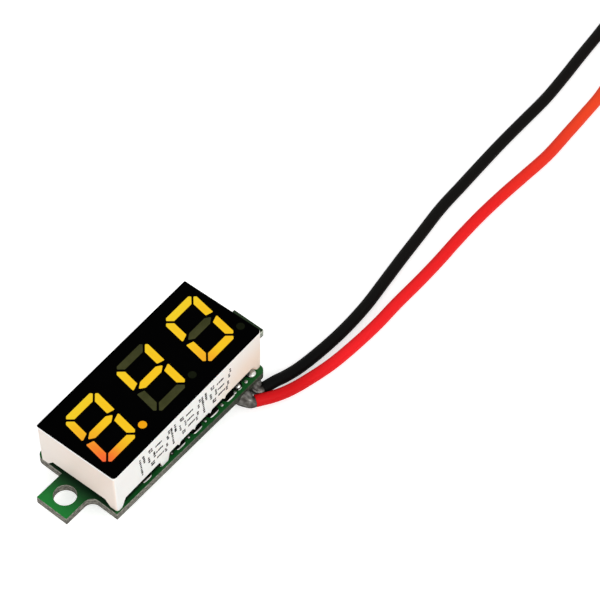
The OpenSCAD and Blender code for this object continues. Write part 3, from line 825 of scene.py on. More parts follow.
@contextmanager
def reworked(mesh: bpy.types.Mesh, within: float) -> Iterator[bmesh.types.BMesh]:
    """Opens a mesh with its doubles merged, and closes it with its faces turned outwards."""
    work = bmesh.new()
    work.from_mesh(mesh)
    bmesh.ops.remove_doubles(work, verts=work.verts, dist=within)
    yield work
    bmesh.ops.recalc_face_normals(work, faces=work.faces)
    work.to_mesh(mesh)
    work.free()


def tidy_mesh(mesh: bpy.types.Mesh, within: float = 0.0002 * MM) -> None:
    """Merges doubled points, drops faces with no area and turns the rest outwards."""
    with reworked(mesh, within) as work:
        bmesh.ops.dissolve_degenerate(work, edges=work.edges, dist=within)


def placed(name: str, data: Any) -> bpy.types.Object:
    """A new object in the scene, at the origin."""
    made = bpy.data.objects.new(name, data)
    bpy.context.scene.collection.objects.link(made)
    return made


def worked_out(holder: bpy.types.Object) -> bpy.types.Mesh:
    """The mesh that an object's curve or modifiers give; the object itself goes."""
    depsgraph = bpy.context.evaluated_depsgraph_get()
    mesh = bpy.data.meshes.new_from_object(holder.evaluated_get(depsgraph))
    bpy.data.objects.remove(holder)
    return mesh


def shown(name: str, mesh: bpy.types.Mesh, smooth_to: float) -> bpy.types.Object:
    """Puts a mesh in the scene, smooth up to an angle in degrees."""
    mesh.polygons.foreach_set("use_smooth", np.ones(len(mesh.polygons), bool))
    mesh.set_sharp_from_angle(angle=math.radians(smooth_to))
    return placed(name, mesh)


def turned(points: np.ndarray, degrees: float) -> np.ndarray:
    """Points turned about the Z axis."""
    c, s = math.cos(math.radians(degrees)), math.sin(math.radians(degrees))
    return points @ np.array([[c, s, 0], [-s, c, 0], [0, 0, 1]])


def lathe(
    profile: np.ndarray, centre: Sequence[float], steps: int = 32, lean: Sequence[float] = (0, 0)
) -> Shape:
    """A closed solid of revolution about an upright axis.

    Formula: the point at height h and radius r goes to the centre plus r times
    (cos t, sin t) for t round the circle, shifted by h times the lean.

    Args:
        profile: rows of radius and height, from pole to pole.
        centre: the axis's foot.
        steps: points in each ring.
        lean: sideways shift for each unit of height.

    Returns:
        The shape; poles are rings of no width, merged later.
    """
    t = round_angles(steps)
    r, h = profile[:, :1], profile[:, 1:]
    x = r * np.cos(t) + h * lean[0] + centre[0]
    y = r * np.sin(t) + h * lean[1] + centre[1]
    z = h + 0 * t + centre[2]
    return Shape().grid(np.stack([x, y, z], -1), wrap_columns=True)


def merged(name: str, shapes: Iterable[Shape], smooth_to: float = 40) -> bpy.types.Object:
    """One piece from several shapes."""
    whole = Shape()
    for shape in shapes:
        whole.faces += [[k + whole.count for k in f] for f in shape.faces]
        whole.corners += shape.corners
        whole._add(np.vstack(shape.points))
    return whole.piece(name, smooth_to)


def smooth_path(points: np.ndarray, step: float) -> np.ndarray:
    """A smooth curve through points, at even steps.

    Formula: between two points the curve is the cubic whose slope at each point
    is half the way from its neighbour before to its neighbour after.

    Args:
        points: the route's points.
        step: distance between the answer's points.

    Returns:
        The curve's points.
    """
    padded = np.vstack([2 * points[0] - points[1], points, 2 * points[-1] - points[-2]])
    t = np.linspace(0, 1, 24, endpoint=False)[None, :, None]
    p0, p1, p2, p3 = (padded[k : len(padded) - 3 + k, None, :] for k in range(4))
    curve = 0.5 * (
        2 * p1
        + (p2 - p0) * t
        + (2 * p0 - 5 * p1 + 4 * p2 - p3) * t**2
        + (3 * p1 - p0 - 3 * p2 + p3) * t**3
    )
    return evenly(np.vstack([curve.reshape(-1, 3), points[-1:]]), step)


def evenly(points: np.ndarray, step: float) -> np.ndarray:
    """The same line with its points at even steps."""
    run = np.concatenate([[0], np.cumsum(np.linalg.norm(np.diff(points, axis=0), axis=1))])
    wanted = np.linspace(0, run[-1], max(2, round(run[-1] / step)) + 1)
    return np.stack([np.interp(wanted, run, points[:, k]) for k in range(3)], -1)


def sides_of(path: np.ndarray) -> tuple[np.ndarray, np.ndarray]:
    """The level and the upright direction across a path that is never upright."""
    along = unit(np.gradient(path, axis=0))
    side = unit(np.cross([0, 0, 1], along))
    return side, np.cross(along, side)


def swept(path: np.ndarray, radius: np.ndarray, around: int) -> np.ndarray:
    """A tube of rings along a path.

    Formula: the ring at a point is the point plus the radius there times
    (cos t of the level side direction + sin t of the upright one).

    Args:
        path: the centreline's points.
        radius: one radius for each point, or for each point and each step round.
        around: points in each ring.

    Returns:
        A grid of rings.
    """
    side, up = sides_of(path)
    t = round_angles(around)
    reach = np.broadcast_to(np.atleast_2d(radius.T).T, (len(path), around))[..., None]
    round_ = np.cos(t)[None, :, None] * side[:, None] + np.sin(t)[None, :, None] * up[:, None]
    return path[:, None] + reach * round_


def rounded_outline(points: np.ndarray, radius: float, steps: int = 6) -> np.ndarray:
    """A polygon with its convex corners rounded.

    Formula: at each corner an arc of the radius touches both sides; its middle
    lies on the corner's bisector at radius over the sine of half the angle.

    Args:
        points: the corners in order.
        radius: the arcs' radius.
        steps: parts of each arc.

    Returns:
        The rounded outline's points.
    """
    back = unit(np.roll(points, 1, axis=0) - points)
    ahead = unit(np.roll(points, -1, axis=0) - points)
    middle = unit(back + ahead)
    half = np.arccos(np.clip((back * ahead).sum(1), -1, 1)) / 2
    centre = points + middle * (radius / np.sin(half))[:, None]
    reach = (radius / np.tan(half))[:, None]
    first, last = points + back * reach - centre, points + ahead * reach - centre
    start = np.arctan2(first[:, 1], first[:, 0])
    swing = np.arctan2(last[:, 1], last[:, 0]) - start
    swing = (swing + math.pi) % (2 * math.pi) - math.pi
    angle = start[:, None] + swing[:, None] * np.linspace(0, 1, steps + 1)
    return (centre[:, None] + on_circle(angle) * radius).reshape(-1, 2)


def plate(
    name: str,
    outlines: Sequence[np.ndarray],
    low: float,
    high: float,
    bevel: float = 0,
    turn: float = 0,
) -> bpy.types.Object:
    """A flat plate between two heights, with holes where outlines lie inside others.

    Args:
        name: the piece's name.
        outlines: closed outlines in plan.
        low: height of its underside.
        high: height of its top.
        bevel: rounding of its edges.
        turn: degrees by which the plan is turned about the origin.

    Returns:
        The plate as a mesh.
    """
    curve = bpy.data.curves.new(name, "CURVE")
    curve.dimensions = "2D"
    curve.fill_mode = "BOTH"
    curve.extrude = (high - low) / 2 - bevel
    curve.bevel_depth = bevel
    curve.bevel_resolution = 2
    curve.offset = -bevel
    for outline in outlines:
        spline = curve.splines.new("POLY")
        spline.points.add(len(outline) - 1)
        flat = np.hstack([outline, np.zeros((len(outline), 1)), np.ones((len(outline), 1))])
        spline.points.foreach_set("co", flat.ravel())
        spline.use_cyclic_u = True
    mesh = worked_out(placed(name, curve))
    bpy.data.curves.remove(curve)
    mesh.name = name
    mesh.transform(
        Matrix.Rotation(math.radians(turn), 4, "Z") @ Matrix.Translation((0, 0, (low + high) / 2))
    )
    tidy_mesh(mesh)
    return shown(name, mesh, 30)


def softened(node: str, name: str, width: float) -> bpy.types.Object:
    """A copy of a frame node with its edges broken by a small bevel.

    Args:
        node: the node that is copied.
        name: the new piece's name.
        width: the bevel's width.

    Returns:
        The piece that stands for the node.
    """
    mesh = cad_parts[node].data.copy()
    mesh.name = name
    mesh.materials.clear()
    with reworked(mesh, 0.0005 * MM) as work:
        level = math.radians(1)
        bmesh.ops.dissolve_limit(work, angle_limit=level, verts=work.verts, edges=work.edges)
    made = placed(name, mesh)
    bevel = made.modifiers.new("edge", "BEVEL")
    bevel.width = width
    bevel.segments = 2
    bevel.limit_method = "ANGLE"
    bevel.angle_limit = math.radians(30)
    return shown(name, worked_out(made), 30)


def dress(
    piece: bpy.types.Object,
    finish: Finishes,
    stands_for: Sequence[str] = (),
    body: str = MODULE,
) -> bpy.types.Object:
    """Gives a new piece its finish, body and slot, and reports it.

    Args:
        piece: the piece.
        finish: its finish.
        stands_for: the frame nodes that it stands for.
        body: the body that it rides on.

    Returns:
        The piece.
    """
    piece.data.materials.clear()
    piece.data.materials.append(finish.value.material())
    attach(piece, body)
    if stands_for:
        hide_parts(*stands_for)
    LOG.info("%s: %d faces", piece.name, len(piece.data.polygons))
    return piece


def finish_node(node: str, finish: Finishes) -> None:
    """Gives a frame node that stays in view a better material."""
    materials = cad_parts[node].data.materials
    if materials:
        materials[0] = finish.value.material()
    else:
        materials.append(finish.value.material())
    LOG.info("%s keeps its shape", node)


# ---------------------------------------------------------------- levels


@dataclass
class Levels:
    """Heights that the pieces share, read from the frame."""

    board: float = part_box("circuit_board")[0].z
    top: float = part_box("circuit_board")[1].z
    film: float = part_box("face_film")[0].z
    face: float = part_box("face_film")[1].z
    well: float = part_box("led_chips")[0].z
    potting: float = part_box("potting")[0].z


LEVELS = Levels()


# ---------------------------------------------------------------- display


@dataclass
class DisplayHousing:
    """The white moulded block: four walls on feet, and the face that carries the print."""

    length: float = 22.5 * MM
    width: float = 10 * MM
    wall: float = 0.6 * MM
    front_corner: float = 0.3 * MM
    back_corner: float = 0.25 * MM
    inner_corner: float = 0.1 * MM
    opening: float = 1.1 * MM
    end_opening: float = 0.85 * MM
    end_draft: float = 0.15 * MM
    foot: float = 0.7 * MM
    end_foot: float = 0.95 * MM
    slope: float = 0.6 * MM
    tooth: float = 0.95 * MM
    tooth_slope: float = 0.25 * MM
    tooth_place: float = 4 * MM
    drips: tuple[float, ...] = (-1.78 * MM, 0.6 * MM, 3.1 * MM, 5.35 * MM)
    drip: Pair = (0.24 * MM, 0.45 * MM)
    edge: float = 0.04 * MM
    lip: float = 0.06 * MM
    under_print: float = 0.4 * MM
    along_long: int = 520
    along_short: int = 200
    corner_steps: int = 12

    def plan(self, inset: float, front: float, back: float) -> np.ndarray:
        """The outline at an inset, with the same number of points whatever the inset.

        Formula: four straight runs, and at each corner points on an arc about the
        corner's middle, counter-clockwise from the front left.

        Args:
            inset: distance inside the outer face.
            front: radius of the front corners.
            back: radius of the back corners.

        Returns:
            Points in plan.
        """
        half_l, half_w = self.length / 2 - inset, self.width / 2 - inset
        corners = [(1, -1, front, -90), (1, 1, back, 0), (-1, 1, back, 90), (-1, -1, front, 180)]
        arcs = []
        for sx, sy, r, start in corners:
            t = np.radians(start + np.linspace(0, 90, self.corner_steps))
            middle = np.array([sx * (half_l - r), sy * (half_w - r)])
            arcs.append(middle + r * on_circle(t))
        counts = [self.along_short, self.along_long, self.along_short, self.along_long]
        runs = []
        for k, (arc, count) in enumerate(zip(arcs, counts, strict=True)):
            runs += [arc, np.linspace(arc[-1], arcs[(k + 1) % 4][0], count + 2)[1:-1]]
        return np.vstack(runs)

    def underside(self, outline: np.ndarray) -> np.ndarray:
        """Height of the wall's lower edge over the board, round the outline.

        Formula: the opening's height, cut down to nothing towards each corner and
        each middle tooth by a straight slope, less a small pointed drip by each pin
        of the front wall, and eased over a few points.

        Args:
            outline: the outer outline in plan.

        Returns:
            One height for each point.
        """
        x, y = outline.T
        half_l, half_w = self.length / 2, self.width / 2
        on_long = np.abs(y) > half_w - 1e-9
        from_foot = np.where(
            on_long,
            half_l - self.foot - np.abs(x),
            np.where(np.abs(x) > half_l - 1e-9, half_w - self.end_foot - np.abs(y), 0),
        )
        tooth_at = np.where(y < 0, -self.tooth_place, self.tooth_place)
        from_tooth = np.where(on_long, np.abs(x - tooth_at) - self.tooth / 2, half_l)
        rise = np.minimum(from_foot / self.slope, from_tooth / self.tooth_slope)
        height = np.clip(rise, 0, 1) * np.where(on_long, self.opening, self.end_opening)
        half, deep = self.drip
        near = np.abs(x[:, None] - np.array(self.drips)).min(axis=1)
        height -= np.where(on_long & (y < 0), np.clip(1 - near / half, 0, 1) * deep, 0)
        for _ in range(2):
            height = (np.roll(height, 1) + 2 * height + np.roll(height, -1)) / 4
        return height

    def spread(self, x: np.ndarray, share: Any) -> np.ndarray:
        """How far the block's -X half widens towards its face.

        Formula: the end's draft times the share of the wall's height, and times the
        share of the way from the middle to the end.

        Args:
            x: places along the block.
            share: share of the wall's height, from the board to the face.

        Returns:
            The shift towards -X.
        """
        return self.end_draft * share * np.clip(-x / (self.length / 2), 0, 1)

    def profile(self) -> tuple[np.ndarray, np.ndarray, np.ndarray]:
        """The wall's section, from the pocket's roof down, round the lip and up to the face.

        Returns:
            The share of the way from the outer to the inner outline, the height as a
            share that follows the lower edge, and the height over that edge.
        """
        quarter = np.radians(np.linspace(0, 90, 7))
        slow, quick = 1 - np.cos(quarter), 1 - np.sin(quarter)
        lip, edge = self.lip / self.wall, self.edge / self.wall
        roof, top = LEVELS.well - LEVELS.top, LEVELS.film - LEVELS.top
        clear = self.opening + self.lip * 2
        steps = [
            (np.ones(6), np.zeros(6), np.linspace(roof, clear, 6)),
            (1 - lip * slow, np.ones(7), self.lip * quick),
            (lip * quick, np.ones(7), self.lip * slow),
            (np.zeros(10), np.zeros(10), np.linspace(clear, top - self.edge, 10)),
            (edge * slow, np.zeros(7), top - self.edge * quick),
            (np.array([self.under_print / self.wall]), np.zeros(1), np.array([top])),
        ]
        return tuple(np.concatenate(column) for column in zip(*steps, strict=True))

    def build(self) -> None:
        """Makes the shell, whose sides are ruled between the outer and the inner outline."""
        outer = self.plan(0, self.front_corner, self.back_corner)
        inner = self.plan(self.wall, self.inner_corner, self.inner_corner)
        lower = self.underside(outer)
        share, follows, height = self.profile()
        flat = outer[:, None] * (1 - share[:, None]) + inner[:, None] * share[:, None]
        z = LEVELS.top + height + follows * lower[:, None]
        flat[..., 0] -= self.spread(flat[..., 0], (z - LEVELS.top) / (LEVELS.film - LEVELS.top))
        points = turned(np.concatenate([flat, z[..., None]], -1), SKEW)
        shell = Shape().grid(points, wrap_rows=True)
        shell.fan(points[:, 0], (0, 0, LEVELS.well), turned=True)
        shell.fan(points[:, -1], (0, 0, LEVELS.film))
        made = shell.piece("housing_shell", 35)
        dress(made, Finishes.HOUSING, ["display_housing"])


@dataclass
class InkDots:
    """A plain dotted batch mark on the front wall: bars, diamonds, dashes and slopes."""

    wall_y: float = -5 * MM
    first_x: float = -7.35 * MM
    cells: int = 12
    pitch: float = 1.19 * MM
    columns: int = 4
    gap: float = 0.27 * MM
    low: float = 5.1 * MM
    rows: int = 9
    rise: float = 0.35 * MM
    lean: float = -0.035 * MM
    dot: float = 0.15 * MM
    sides: int = 10
    proud: float = 0.006 * MM
    stray: float = 0.015 * MM
    spread: Pair = (0.8, 1.15)
    diamond: float = 0.58
    diamond_line: float = 0.13
    slope_line: float = 1.2

    def centres(self) -> np.ndarray:
        """Places of the dots.

        Formula: each cell in turn keeps, of its columns and rows, a bar and a half,
        a diamond's outline, three dashes or a diagonal.
        """
        cell, column, row = np.meshgrid(
            *(np.arange(n) for n in (self.cells, self.columns, self.rows)), indexing="ij"
        )
        side, top = self.columns - 1, self.rows - 1
        off_middle = np.abs(column - side / 2) / side + np.abs(row - top / 2) / top
        kinds = [
            (column == 0) | ((column == 2) & (row > top / 2)),
            np.abs(off_middle - self.diamond) < self.diamond_line,
            row % 3 == 1,
            np.abs(column * top / side - row) < self.slope_line,
        ]
        keep = np.choose(cell % len(kinds), kinds)
        x = self.first_x + cell * self.pitch + column * self.gap + row * self.lean
        z = self.low + row * self.rise
        jitter = np.random.default_rng(RNG_SEED).normal(0, self.stray, (2, *x.shape))
        return np.stack([x + jitter[0], z + jitter[1]], -1)[keep]

    def build(self) -> None:
        """Makes every dot a thin disc that stands a few microns proud of the wall."""
        circle = on_circle(round_angles(self.sides))
        wall = np.full(self.sides, self.wall_y)
        off = np.array([0, self.proud, 0])
        rng = np.random.default_rng(RNG_SEED + 1)
        discs = []
        for x, z in self.centres():
            flat = self.dot * rng.uniform(*self.spread) * circle + [x, z]
            ring = np.column_stack([flat[:, 0], wall, flat[:, 1]])
            discs.append(Shape().capped(turned(np.stack([ring + off, ring - off]), SKEW)))
        dress(merged("ink_dots", discs, 30), Finishes.INK)


@dataclass
class DisplayFace:
    """The black print, its windows, and the resin bars and points in them."""

    rim: float = 0.01 * MM
    film_corners: Pair = (0.4 * MM, 0.12 * MM)
    pitch: float = 7.6 * MM
    height: float = 6.9 * MM
    width: float = 4.8 * MM
    slant: float = 10
    bar: float = 0.88 * MM
    gap: float = 0.24 * MM
    cut: float = 0.66 * MM
    mid: float = 0.25 * MM
    mid_gap: float = 0.1 * MM
    mid_tip: float = 0.55 * MM
    mid_taper: float = 0.66 * MM
    point: float = 0.45 * MM
    point_place: Pair = (2.78 * MM, -3.02 * MM)
    corner: float = 0.11 * MM
    soft: float = 0.012 * MM
    recess: float = 0.01 * MM
    figures: tuple[int, ...] = (8, 4, 0)
    point_after: int = 1

    def bars(self) -> dict[str, np.ndarray]:
        """The corners of the seven bars of an upright figure, by letter.

        Formula: the bars meet in 45-degree mitres, and each stands back from the
        mitre's line by half the gap, which is the gap over root 2 along a side.
        """
        hx, hy, t, mitre = self.width / 2, self.height / 2, self.bar, self.gap / math.sqrt(2)
        far, near = (self.cut + mitre) / 2, (self.cut - mitre) / 2
        right = [(hx - t - mitre, hy - t), (hx - far, hy - near), (hx - self.cut, hy)]
        level = np.array(right + [(-x, y) for x, y in reversed(right)])
        upright = np.array(
            [
                (hx, hy - self.cut),
                (hx, self.mid),
                (hx - t, t / 2 + self.mid_gap),
                (hx - t, hy - t - mitre),
                (hx - near, hy - far),
            ]
        )
        tip = hx - self.mid_tip
        flat = tip - self.mid_taper
        half = t / 2
        middle = [(tip, 0), (flat, half), (-flat, half), (-tip, 0), (-flat, -half), (flat, -half)]
        return {
            "a": level,
            "b": upright,
            "c": upright * [1, -1],
            "d": level * [1, -1],
            "e": upright * [-1, -1],
            "f": upright * [-1, 1],
            "g": np.array(middle),
        }

    def outline(self, corners: np.ndarray, place: int) -> np.ndarray:
        """A bar's rounded outline, slanted and moved to its figure.

        Formula: slanting adds the height times the tangent of the slant to x.

        Args:
            corners: the bar's corners in an upright figure.
            place: the figure's number, from 0 on the left.

        Returns:
            The outline in plan.
        """
        x, y = corners.T
        shift = (place - 1) * self.pitch
        slanted = np.stack([x + y * math.tan(math.radians(self.slant)) + shift, y], -1)
        return rounded_outline(slanted, self.corner)

    def point_outline(self, place: int) -> np.ndarray:
        """A decimal point's circle."""
        middle = np.array(self.point_place) + [(place - 1) * self.pitch, 0]
        return middle + self.point * on_circle(round_angles(40))

    def build(self) -> None:
        """Makes the print and the four groups of resin."""
        lit, unlit = [], []
        for place, figure in enumerate(self.figures):
            for letter, corners in self.bars().items():
                group = lit if letter in LIT_BARS[figure] else unlit
                group.append(self.outline(corners, place))
        dots = [self.point_outline(place) for place in range(3)]
        lit_dots = [dots[self.point_after - 1]]
        unlit_dots = [d for k, d in enumerate(dots) if k != self.point_after - 1]
        housing = DisplayHousing()
        edge = housing.plan(self.rim, *self.film_corners)
        edge[:, 0] -= housing.spread(edge[:, 0], 1)
        windows = [edge, *lit, *unlit, *dots]
        film = plate("face_print", windows, LEVELS.film, LEVELS.face, 0, SKEW)
        dress(film, Finishes.FACE, ["face_film"])
        top = LEVELS.face - self.recess
        groups = [
            ("lit_bars_resin", lit, Finishes.LIT, "lit_resin", "lit_bars"),
            ("dark_bars_resin", unlit, Finishes.UNLIT, "dark_resin", "dark_bars"),
            ("lit_point_resin", lit_dots, Finishes.LIT_POINT, "lit_resin", "lit_point"),
            ("dark_points_resin", unlit_dots, Finishes.UNLIT_POINT, "dark_resin", "dark_points"),
        ]
        for name, outlines, finish, slot, node in groups:
            piece = plate(name, outlines, LEVELS.well, top, self.soft, SKEW)
            dress(piece, finish, [node])
        finish_node("inner_board", Finishes.LAMINATE)
        finish_node("led_chips", Finishes.DIE)
        finish_node("potting", Finishes.POTTING_PAINTED_SHADE)


# ---------------------------------------------------------------- circuit board


@dataclass
class CircuitBoard:
    """The board's finish, its tinned pads and vias, and the soldered pins."""

    pin_pitch: float = 2.54 * MM
    pin_rows: float = 7.62 * MM
    pins_per_row: int = 6
    pin_hole: float = 0.45 * MM
    pad: Pair = (1.6 * MM, 2.5 * MM)
    pad_swell: float = 0.05 * MM
    pad_depth: float = 0.05 * MM
    via: float = 0.2 * MM
    via_edge: float = 0.6 * MM
    back_vias: tuple[float, ...] = (-5.08 * MM, -2.54 * MM, 0, 2.54 * MM, 5.08 * MM)
    front_vias: tuple[float, ...] = (-2.54 * MM, 0, 2.54 * MM, 5.08 * MM, 7.075 * MM, 8.85 * MM)
    half_width: float = 5.4 * MM
    wire_pad: float = 0.6 * MM
    wire_hole: float = 0.4 * MM
    cone: float = 0.9 * MM
    cone_base: float = 0.7 * MM
    cone_tip: float = 0.34 * MM
    tip_flat: float = 0.2 * MM
    tip_crown: float = 0.03 * MM
    fill_dip: float = 0.15 * MM
    via_swell: float = 0.05 * MM
    via_run: Pair = (-3 * MM, 5 * MM)
    via_shares: Pair = (0.45, 0.9)
    via_spread: Pair = (0.9, 1.1)
    dish: Pair = (0.05 * MM, 0.03 * MM)

    def pin_places(self) -> list[Pair]:
        """Where the pins pass through the board."""
        steps = np.arange(self.pins_per_row) - (self.pins_per_row - 1) / 2
        return [(x, s * self.pin_rows / 2) for s in (-1, 1) for x in steps * self.pin_pitch]

    def pad_ring(
        self, at: Pair, size: Pair, hole: float, square: float = 1
    ) -> Shape:
        """A tinned pad with a plated rim, as a closed ring.

        Formula: the ring's outer edge is a stadium whose ends take the cosine and the
        sine to the power of the squareness, and its inner edge is a circle; over the
        way s between them the height is the swell times the root of 4s(1-s), and the
        underside is flat.

        Args:
            at: the pad's middle.
            size: its width and length.
            hole: radius of its hole.
            square: 1 for round ends, less for squarer ones.

        Returns:
            The ring.
        """
        w, l = size
        inner = hole * on_circle(round_angles(64)).round(12)
        outer = w / 2 * np.sign(inner) * (np.abs(inner) / hole) ** square
        outer[:, 1] += np.sign(inner[:, 1]) * (l - w) / 2
        s = 0.5 - 0.5 * np.cos(np.linspace(0, math.pi, 11))
        flat = inner[None] * (1 - s[:, None, None]) + outer[None] * s[:, None, None]
        swell = self.pad_swell * np.sqrt(np.clip(4 * s * (1 - s), 0, 1))
        top = np.broadcast_to((LEVELS.top + swell)[:, None, None], (*flat.shape[:2], 1))
        under = np.full((2, len(inner), 1), LEVELS.top - self.pad_depth)
        rings = np.concatenate([flat, flat[[-1, 0]]]) + np.array(at)
        points = np.concatenate([rings, np.concatenate([top, under])], -1)
        return Shape().grid(points, True, True)

    def bead(self, at: Pair, radius: float, lift: float, swell: float) -> Shape:
        """A flat-bottomed bead of tin: the height is the swell times the root of 1-(r/R)^2."""
        h, r = (on_circle(np.radians(np.linspace(0, 90, 8))) * [swell, radius]).T
        surface = LEVELS.top if lift > 0 else LEVELS.board
        sunk = -lift * self.pad_depth
        profile = np.vstack([np.stack([r, lift * h], -1), [radius, sunk], [0, sunk]])
        return lathe(profile, (*at, surface), 20)

    def vias(self) -> list[Shape]:
        """Filled vias along both long edges, seen as beads on both faces."""
        rng = np.random.default_rng(RNG_SEED + 2)
        shapes = []
        for side, places in ((-1, self.front_vias), (1, self.back_vias)):
            for x in places:
                at = (x, side * (self.half_width - self.via_edge))
                share = np.interp(x, self.via_run, self.via_shares)
                grow = self.via * share * rng.uniform(*self.via_spread)
                shapes += [self.bead(at, grow, lift, self.via_swell) for lift in (1, -1)]
        return shapes

    def joint(self, at: Pair, rng: np.random.Generator) -> Shape:
        """One soldered pin: a hollow-sided cone below and a dished fill above.

        Formula: under the board the radius falls from the base to the tip with the
        third power of the height that is left.

        Args:
            at: the pin's place.
            rng: gives each joint its own size and lean.

        Returns:
            The closed solid.
        """
        tall = self.cone * rng.uniform(0.85, 1.1)
        u = np.linspace(0, 1, 12)
        cone = self.cone_tip + (self.cone_base - self.cone_tip) * (1 - u) ** 3
        below = np.stack([cone, -tall * u], -1)
        fill = LEVELS.top - LEVELS.board - self.fill_dip
        dish = [[0, fill - self.dish[0]], [self.pin_hole * 0.6, fill - self.dish[1]]]
        wall = [[self.pin_hole * 0.98, fill], [self.pin_hole * 0.98, 0.0]]
        tip = [[self.tip_flat, -tall - self.tip_crown], [0, -tall - self.tip_crown]]
        profile = np.vstack([dish, wall, below, tip])
        lean = rng.uniform(-0.06, 0.06, 2)
        return lathe(profile, (*at, LEVELS.board), 32, lean)

    def build(self) -> None:
        """Dresses the board and makes its metal."""
        finish_node("circuit_board", Finishes.BOARD)
        pads = [self.pad_ring(at, self.pad, self.pin_hole, 0.6) for at in self.pin_places()]
        round_pad = (2 * self.wire_pad, 2 * self.wire_pad)
        pads += [self.pad_ring((x, WIRE_PAD_Y), round_pad, self.wire_hole) for x in WIRE_PADS]
        top_pads = merged("tinned_top_pads", pads, 50)
        dress(top_pads, Finishes.SHADED_PAD_TIN, ["top_pads"])
        dress(merged("tinned_vias", self.vias(), 50), Finishes.TIN, ["vias"])
        finish_node("bottom_pads", Finishes.TIN)
        rng = np.random.default_rng(RNG_SEED + 3)
        joints = [self.joint(at, rng) for at in self.pin_places()]
        dress(merged("pin_joints", joints, 50), Finishes.SOLDER, ["pin_solder"])
        pins = softened("display_pins", "pins", 0.04 * MM)
        dress(pins, Finishes.PIN, ["display_pins"])


@dataclass
class Traces:
    """Copper traces under the mask of the board's underside, seen as low ridges."""

    half: float = 0.13 * MM
    height: float = 0.018 * MM
    foot_share: float = 0.9
    sunk: float = 0.005 * MM
    step: float = 0.1 * MM
    routes: tuple[tuple[Pair, ...], ...] = (
        ((-6.35, 3.81), (-7.2, 4.6), (-9.0, 4.9)),
        ((-6.35, -3.81), (-7.3, -3.2), (-8.5, -2.8)),
        ((-3.81, -3.81), (-3.81, -2.6)),
        ((-1.27, -3.81), (-0.65, -2.9)),
        ((1.27, -3.81), (1.9, -3.2), (1.9, -2.7)),
        ((3.81, -3.81), (3.2, -2.9)),
        ((-3.81, 3.81), (-3.2, 2.9)),
        ((-1.27, 3.81), (-1.9, 3.2), (-1.9, 2.8)),
        ((1.27, 3.81), (0.65, 2.9)),
        ((3.81, 3.81), (4.45, 3.1), (4.45, 2.8)),
        ((6.35, 3.81), (7.3, 4.7), (8.4, 4.7)),
        ((7.8, -4.4), (7.8, -3.3), (8.7, -2.4)),
        ((9.9, -4.4), (10.5, -3.6), (10.5, 0.6), (10.9, 1.2)),
        ((-8.5, -1.3), (-7.7, -0.6), (-5.4, -0.4), (-5.4, 2.0)),
        ((-8.5, 0.3), (-7.6, 1.0), (-6.0, 1.0), (-6.0, 2.2), (-4.6, 2.7)),
        ((-10.2, -4.3), (-10.7, -3.6), (-10.7, 1.2), (-10.4, 1.5)),
    )

    def ridge(self, route: np.ndarray) -> Shape:
        """One trace: a half-round ridge along its route, closed by its own flat back.

        Formula: across the trace the depth below the board is the height times the
        cosine of the way from its middle to its edge.

        Args:
            route: the trace's corners in plan.

        Returns:
            The closed ridge.
        """
        path = evenly(np.hstack([route, np.zeros((len(route), 1))]), self.step)
        side, _ = sides_of(path)
        foot = self.half * self.foot_share
        a = np.radians(np.linspace(-90, 90, 9))
        across = np.concatenate([np.sin(a) * self.half, [foot, -foot]])
        drop = np.concatenate([np.cos(a) * self.height, [-self.sunk, -self.sunk]])
        points = path[:, None] + side[:, None] * across[None, :, None]
        points[..., 2] = LEVELS.board - drop
        return Shape().capped(points)

    def build(self) -> None:
        """Makes all the ridges as one piece."""
        ridges = [self.ridge(np.array(route) * MM) for route in self.routes]
        dress(merged("trace_ridges", ridges, 60), Finishes.TRACE)


# ---------------------------------------------------------------- circuit under the board


@dataclass
class MeterCircuit:
    """The chips and small parts under the board, with broken edges."""

    body_edge: float = 0.06 * MM
    lead_edge: float = 0.02 * MM
    ceramic_edge: float = 0.02 * MM
    capacitor_end_edge: float = 0.05 * MM
    resistor_end_edge: float = 0.04 * MM
    trimmer_edge: float = 0.03 * MM

    def build(self) -> None:
        """Softens each part and gives it its finish."""
        chip = (self.body_edge, Finishes.CHIP, "chip_body")
        pin = (self.lead_edge, Finishes.PIN, "pin_metal")
        tan = (self.ceramic_edge, Finishes.TAN_CERAMIC, "capacitor_ceramic")
        glaze = (self.ceramic_edge, Finishes.GLAZE, "resistor_glaze")
        white = (self.trimmer_edge, Finishes.WHITE_CERAMIC, "white_ceramic")
        tin = (Finishes.TIN, "pin_metal")
        parts = [
            ("microcontroller", "chip_block", *chip),
            ("microcontroller_leads", "chip_leads", *pin),
            ("regulator", "regulator_block", *chip),
            ("regulator_leads", "regulator_pins", *pin),
            ("diode", "diode_block", *chip),
            ("diode_leads", "diode_pins", *pin),
            ("capacitors", "capacitor_blocks", *tan),
            ("capacitor_ends", "capacitor_caps", self.capacitor_end_edge, *tin),
            ("resistors", "resistor_blocks", *glaze),
            ("resistor_ends", "resistor_caps", self.resistor_end_edge, *tin),
            ("trimmer_terminals", "trimmer_feet", *pin),
            ("trimmer_base", "trimmer_plate", *white),
        ]
        for node, name, width, finish, slot in parts:
            dress(softened(node, name, width), finish, [node])
        rotor = softened("trimmer_rotor", "trimmer_disc", self.trimmer_edge)
        dress(rotor, Finishes.ROTOR, ["trimmer_rotor"], ROTOR)


# ---------------------------------------------------------------- leads


class Hue(Enum):
    """The two leads."""

    RED = "red"
    BLACK = "black"


